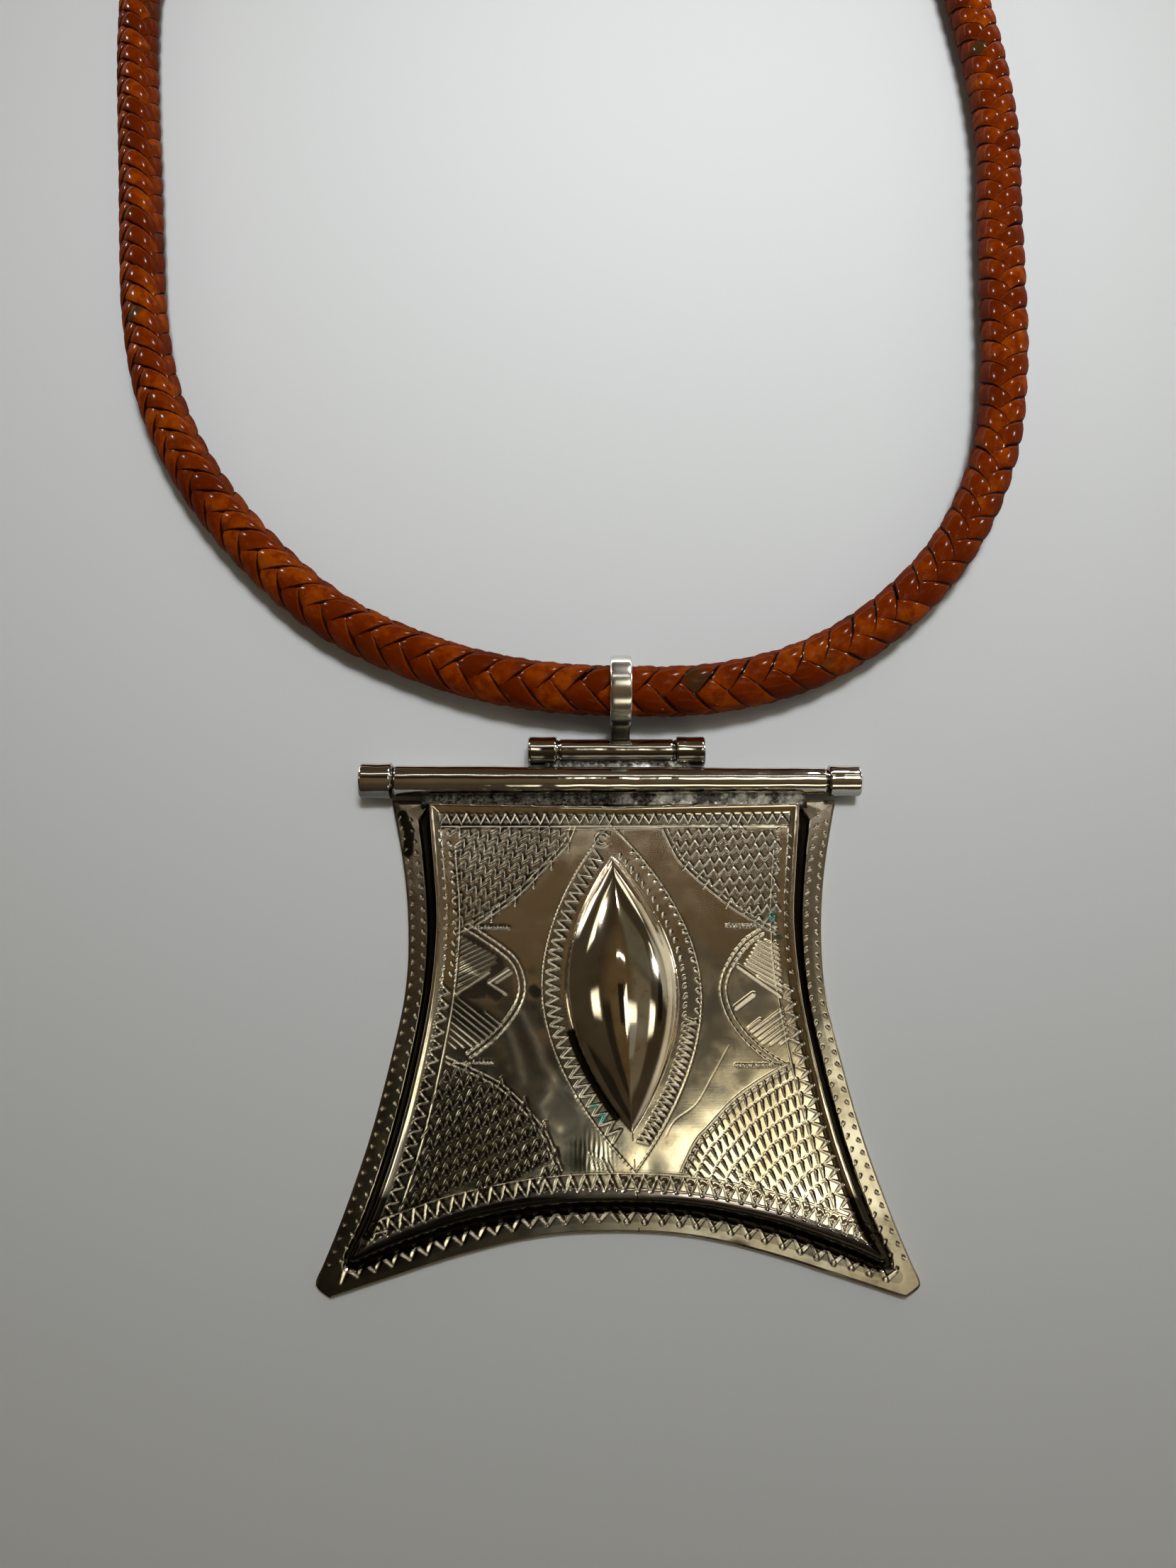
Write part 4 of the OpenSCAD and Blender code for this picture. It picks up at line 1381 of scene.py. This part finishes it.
class NECKLACE_OT_tubes(bpy.types.Operator):
    """Turn the two tubes, bend the bail and run the solder between them"""

    bl_idname = "necklace.tubes"
    bl_label = "Tubes and bail"

    def execute(self, context):
        sizes = context.scene.necklace_silver
        finish = silver_finish(
            "tube_silver", sizes, sizes.bright, tarnish=0.35, polish=0.06, worn=0.5, dents=0.8
        )
        dice = np.random.default_rng(SEED)
        for name, middle, long, left, right, collar, low in TUBES:
            start = np.array(middle) - (long / 2, 0, 0)
            piece = turned(tube_profile(long, left, right, collar, dice), start, name, sides=72)
            blacken(piece, tube_oxide_and_shade(points_of(piece), start[0], long, collar, low))
            keep(piece, "amulet", finish)
        loop_rings = []
        for turn in np.arange(96) / 96 * 2 * math.pi:
            up = np.array([0.0, math.sin(turn), math.cos(turn)])
            loop_rings.append((BAIL_MIDDLE + BAIL_RADIUS * up, up, 3.0, 0.9))
        neck_rings = []
        for y, wide, tall in smooth_way(BAIL_NECK, 5):
            neck_rings.append(((BAIL_MIDDLE[0], y, NECK_FOOT + tall / 2), (0.0, 0.0, 1.0), wide, tall))
        loop = skinned(strap(loop_rings, power=6.0), "bail_loop", "joined")
        neck = skinned(strap(neck_rings, power=5.0), "bail_neck", "capped")
        finish = silver_finish(
            "bail_silver", sizes, sizes.bright, tarnish=0.45, polish=0.2, worn=0.5, dents=0.04
        )
        for piece in (loop, neck):
            # Painted shade on the bail's front and neck, darker towards the plate
            blacken(piece, np.clip((BAIL_SHADE_BELOW - points_of(piece)[:, 1]) / 2.0, 0, 0.9))
            keep(piece, "amulet", finish)
        finish = solder_finish(sizes)
        for name, low, high, base, top in SOLDER_RUNS:
            keep(rough_run(low, high, base, top, name, dice), "amulet", finish)
        return {"FINISHED"}


def points_of(piece):
    """A piece's points in millimetres."""
    places = np.zeros(len(piece.data.vertices) * 3)
    piece.data.vertices.foreach_get("co", places)
    return places.reshape(-1, 3) / MM


def blacken(piece, oxide_and_shade):
    """Gives each point of a piece its share of black oxide and painted shade."""
    made = piece.data.attributes.new("oxide_and_shade", "FLOAT", "POINT")
    made.data.foreach_set("value", oxide_and_shade.astype(np.float32))


def tube_oxide_and_shade(places, start, long, collar, low):
    """Oxide in the groove beside each collar and inside the bore, and painted shade below a place along y."""
    along = places[:, 0] - start
    near = np.minimum(along, long - along)
    middle = places[:, 1:].mean(axis=0)
    radius = np.hypot(*(places[:, 1:] - middle).T)
    groove = np.clip(1 - np.abs(near - collar - 0.25) / 0.45, 0, 1)
    bore = np.clip((1.5 - radius) * 4, 0, 1)
    shade = np.clip((low - places[:, 1]) / 0.8, 0, 1) * 0.8
    return np.maximum.reduce([groove, bore, shade])


class NECKLACE_OT_clasp(bpy.types.Operator):
    """Turn the barrel clasp behind the neck"""

    bl_idname = "necklace.clasp"
    bl_label = "Barrel clasp"

    def execute(self, context):
        sizes = context.scene.necklace_silver
        finish = silver_finish("plain_silver", sizes, sizes.bright, tarnish=0.3, polish=0.12)
        start = np.array(CLASP_PLACE) - (CLASP_LONG / 2, 0, 0)
        profile = []
        for along in np.linspace(0, CLASP_LONG, 181):
            near = min(along, CLASP_LONG - along)
            radius = CLASP_RADIUS - 0.5 * max(0.0, 1 - near / 0.5) ** 2
            for place, wide, deep in CLASP_GROOVES:
                radius -= deep * max(0.0, 1 - abs(near - place) / wide)
            profile.append((along, radius))
        far = CLASP_LONG - CLASP_SOCKET
        profile += [(CLASP_LONG, CLASP_BORE), (far, CLASP_BORE), (far, 0.0)]
        profile += [(CLASP_SOCKET, 0.0), (CLASP_SOCKET, CLASP_BORE), (0, CLASP_BORE)] + profile[:1]
        keep(turned(profile, start, "clasp_barrel", sides=96), "barrel_clasp", finish)
        return {"FINISHED"}


class NECKLACE_OT_stage(bpy.types.Operator):
    """Lay the floor and set the lights and the camera"""

    bl_idname = "necklace.stage"
    bl_label = "Floor, lights and camera"

    def execute(self, context):
        scene = context.scene
        sizes = scene.necklace_stage
        mesh = bpy.data.meshes.new("floor")
        corners = [(x * FLOOR_HALF, y * FLOOR_HALF, 0) for x, y in ((-1, -1), (1, -1), (1, 1), (-1, 1))]
        mesh.from_pydata(corners, [], [(0, 1, 2, 3)])
        floor = show(mesh, "floor")
        finish, _, shader, _ = new_finish("pale_floor")
        shader.inputs["Base Color"].default_value = (*sizes.floor, 1)
        shader.inputs["Roughness"].default_value = 0.9
        floor.data.materials.append(finish)
        camera = bpy.data.cameras.new("camera")
        camera.lens = sizes.lens
        camera.sensor_width = 36.0
        camera.clip_start = 0.01
        camera.clip_end = 20.0
        scene.camera = show(camera, "camera")
        scene.camera.location = CAMERA_PLACE
        scene.camera.rotation_euler = (math.radians(sizes.camera_tilt), 0, 0)
        for name, kind, place, aim, power, size in LAMPS:
            light = bpy.data.lights.new(name, kind)
            light.shadow_soft_size = size
            light.energy = power
            if kind == "SPOT":
                light.spot_size = math.radians(29.0)
                light.spot_blend = 1.0
            lamp = show(light, name)
            lamp.location = place
            lamp.rotation_euler = (Vector(place) - Vector(aim)).to_track_quat("Z", "Y").to_euler()
            lamp.visible_glossy = name.startswith("glint")
            lamp.visible_diffuse = not lamp.visible_glossy
        scene.world = new_room()
        scene.view_settings.view_transform = "Standard"
        return {"FINISHED"}


def new_room():
    """The room that the silver mirrors: warm and dark, with patches of light placed by how far they lean."""
    world = bpy.data.worlds.new("room")
    world.use_nodes = True
    tree = world.node_tree
    tree.nodes.clear()
    x, y, z = parts(tree, node(tree, "ShaderNodeTexCoord").outputs["Generated"])
    lean_x, lean_y = x / z.maths("MAXIMUM", 0.05), y / z.maths("MAXIMUM", 0.05)
    away = (lean_x * lean_x + lean_y * lean_y).power(0.5)
    tone = blend(tree, away.between(0.40, 1.1), (0.105, 0.070, 0.034), (0.050, 0.038, 0.024))
    # Two pale walls and a window, low down
    wall = z.between(0.24, 0.04) * (x + y).between(-0.3, 0.5)
    tone = blend(tree, wall, tone, (0.42, 0.40, 0.37))
    wall = z.between(0.20, 0.06) * x.between(0.3, 0.7) * y.between(-0.50, -0.22)
    tone = blend(tree, wall, tone, (0.70, 0.65, 0.52))
    window = z.between(0.12, 0.09) * y.between(0.5, 0.62) * x.between(0.68, 0.6)
    tone = blend(tree, window, tone, (4.0, 4.0, 3.9))
    for middle, half, soft, colour in SKY_PATCHES:
        reach = []
        for lean, at, size in zip((lean_x, lean_y), middle, half):
            reach.append((lean - at).size().between(size + soft, size))
        tone = blend(tree, reach[0] * reach[1] * z.between(0.0, 0.05), tone, colour)
    # The glare at the panel's foot, with a dark stripe in it
    glare = (lean_y - lean_x * 0.70).between(0.036, 0.020).maths("MAXIMUM", lean_y.between(0.116, 0.100))
    glare = glare * lean_y.between(-0.14, -0.10)
    stripe = lean_x.between(0.018, 0.026) * lean_x.between(0.046, 0.038)
    glare = glare * (stripe * -1.0 + 1.0)
    glare = glare * lean_x.between(-0.01, 0.04) * lean_x.between(0.31, 0.27)
    tone = blend(tree, glare, tone, (2.35, 2.30, 1.80))
    shine = node(tree, "ShaderNodeBackground", {"Color": tone, "Strength": 1.0})
    output = node(tree, "ShaderNodeOutputWorld")
    tree.links.new(shine.outputs[0], output.inputs[0])
    return world


class NECKLACE_PT_panel(bpy.types.Panel):
    """Lists the necklace's sizes, colours and steps"""

    bl_idname = "NECKLACE_PT_panel"
    bl_label = "Necklace"
    bl_space_type = "VIEW_3D"
    bl_region_type = "UI"
    bl_category = "Necklace"

    def draw(self, context):
        scene = context.scene
        for settings in (scene.necklace_cord, scene.necklace_silver, scene.necklace_stage):
            box = self.layout.box()
            for name in settings.bl_rna.properties.keys():
                if name not in ("rna_type", "name"):
                    box.prop(settings, name)
        for step in STEPS:
            self.layout.operator(step.bl_idname)


STEPS = (
    NECKLACE_OT_cord,
    NECKLACE_OT_plate,
    NECKLACE_OT_tubes,
    NECKLACE_OT_clasp,
    NECKLACE_OT_stage,
)
CLASSES = (CordSettings, SilverSettings, StageSettings) + STEPS + (NECKLACE_PT_panel,)


def register():
    for made in CLASSES:
        bpy.utils.register_class(made)
    bpy.types.Scene.necklace_cord = PointerProperty(type=CordSettings)
    bpy.types.Scene.necklace_silver = PointerProperty(type=SilverSettings)
    bpy.types.Scene.necklace_stage = PointerProperty(type=StageSettings)


def unregister():
    del bpy.types.Scene.necklace_stage
    del bpy.types.Scene.necklace_silver
    del bpy.types.Scene.necklace_cord
    for made in reversed(CLASSES):
        bpy.utils.unregister_class(made)


def main():
    register()
    bpy.ops.necklace.cord()
    bpy.ops.necklace.plate()
    bpy.ops.necklace.tubes()
    bpy.ops.necklace.clasp()
    bpy.ops.necklace.stage()


if __name__ == "__main__":
    main()
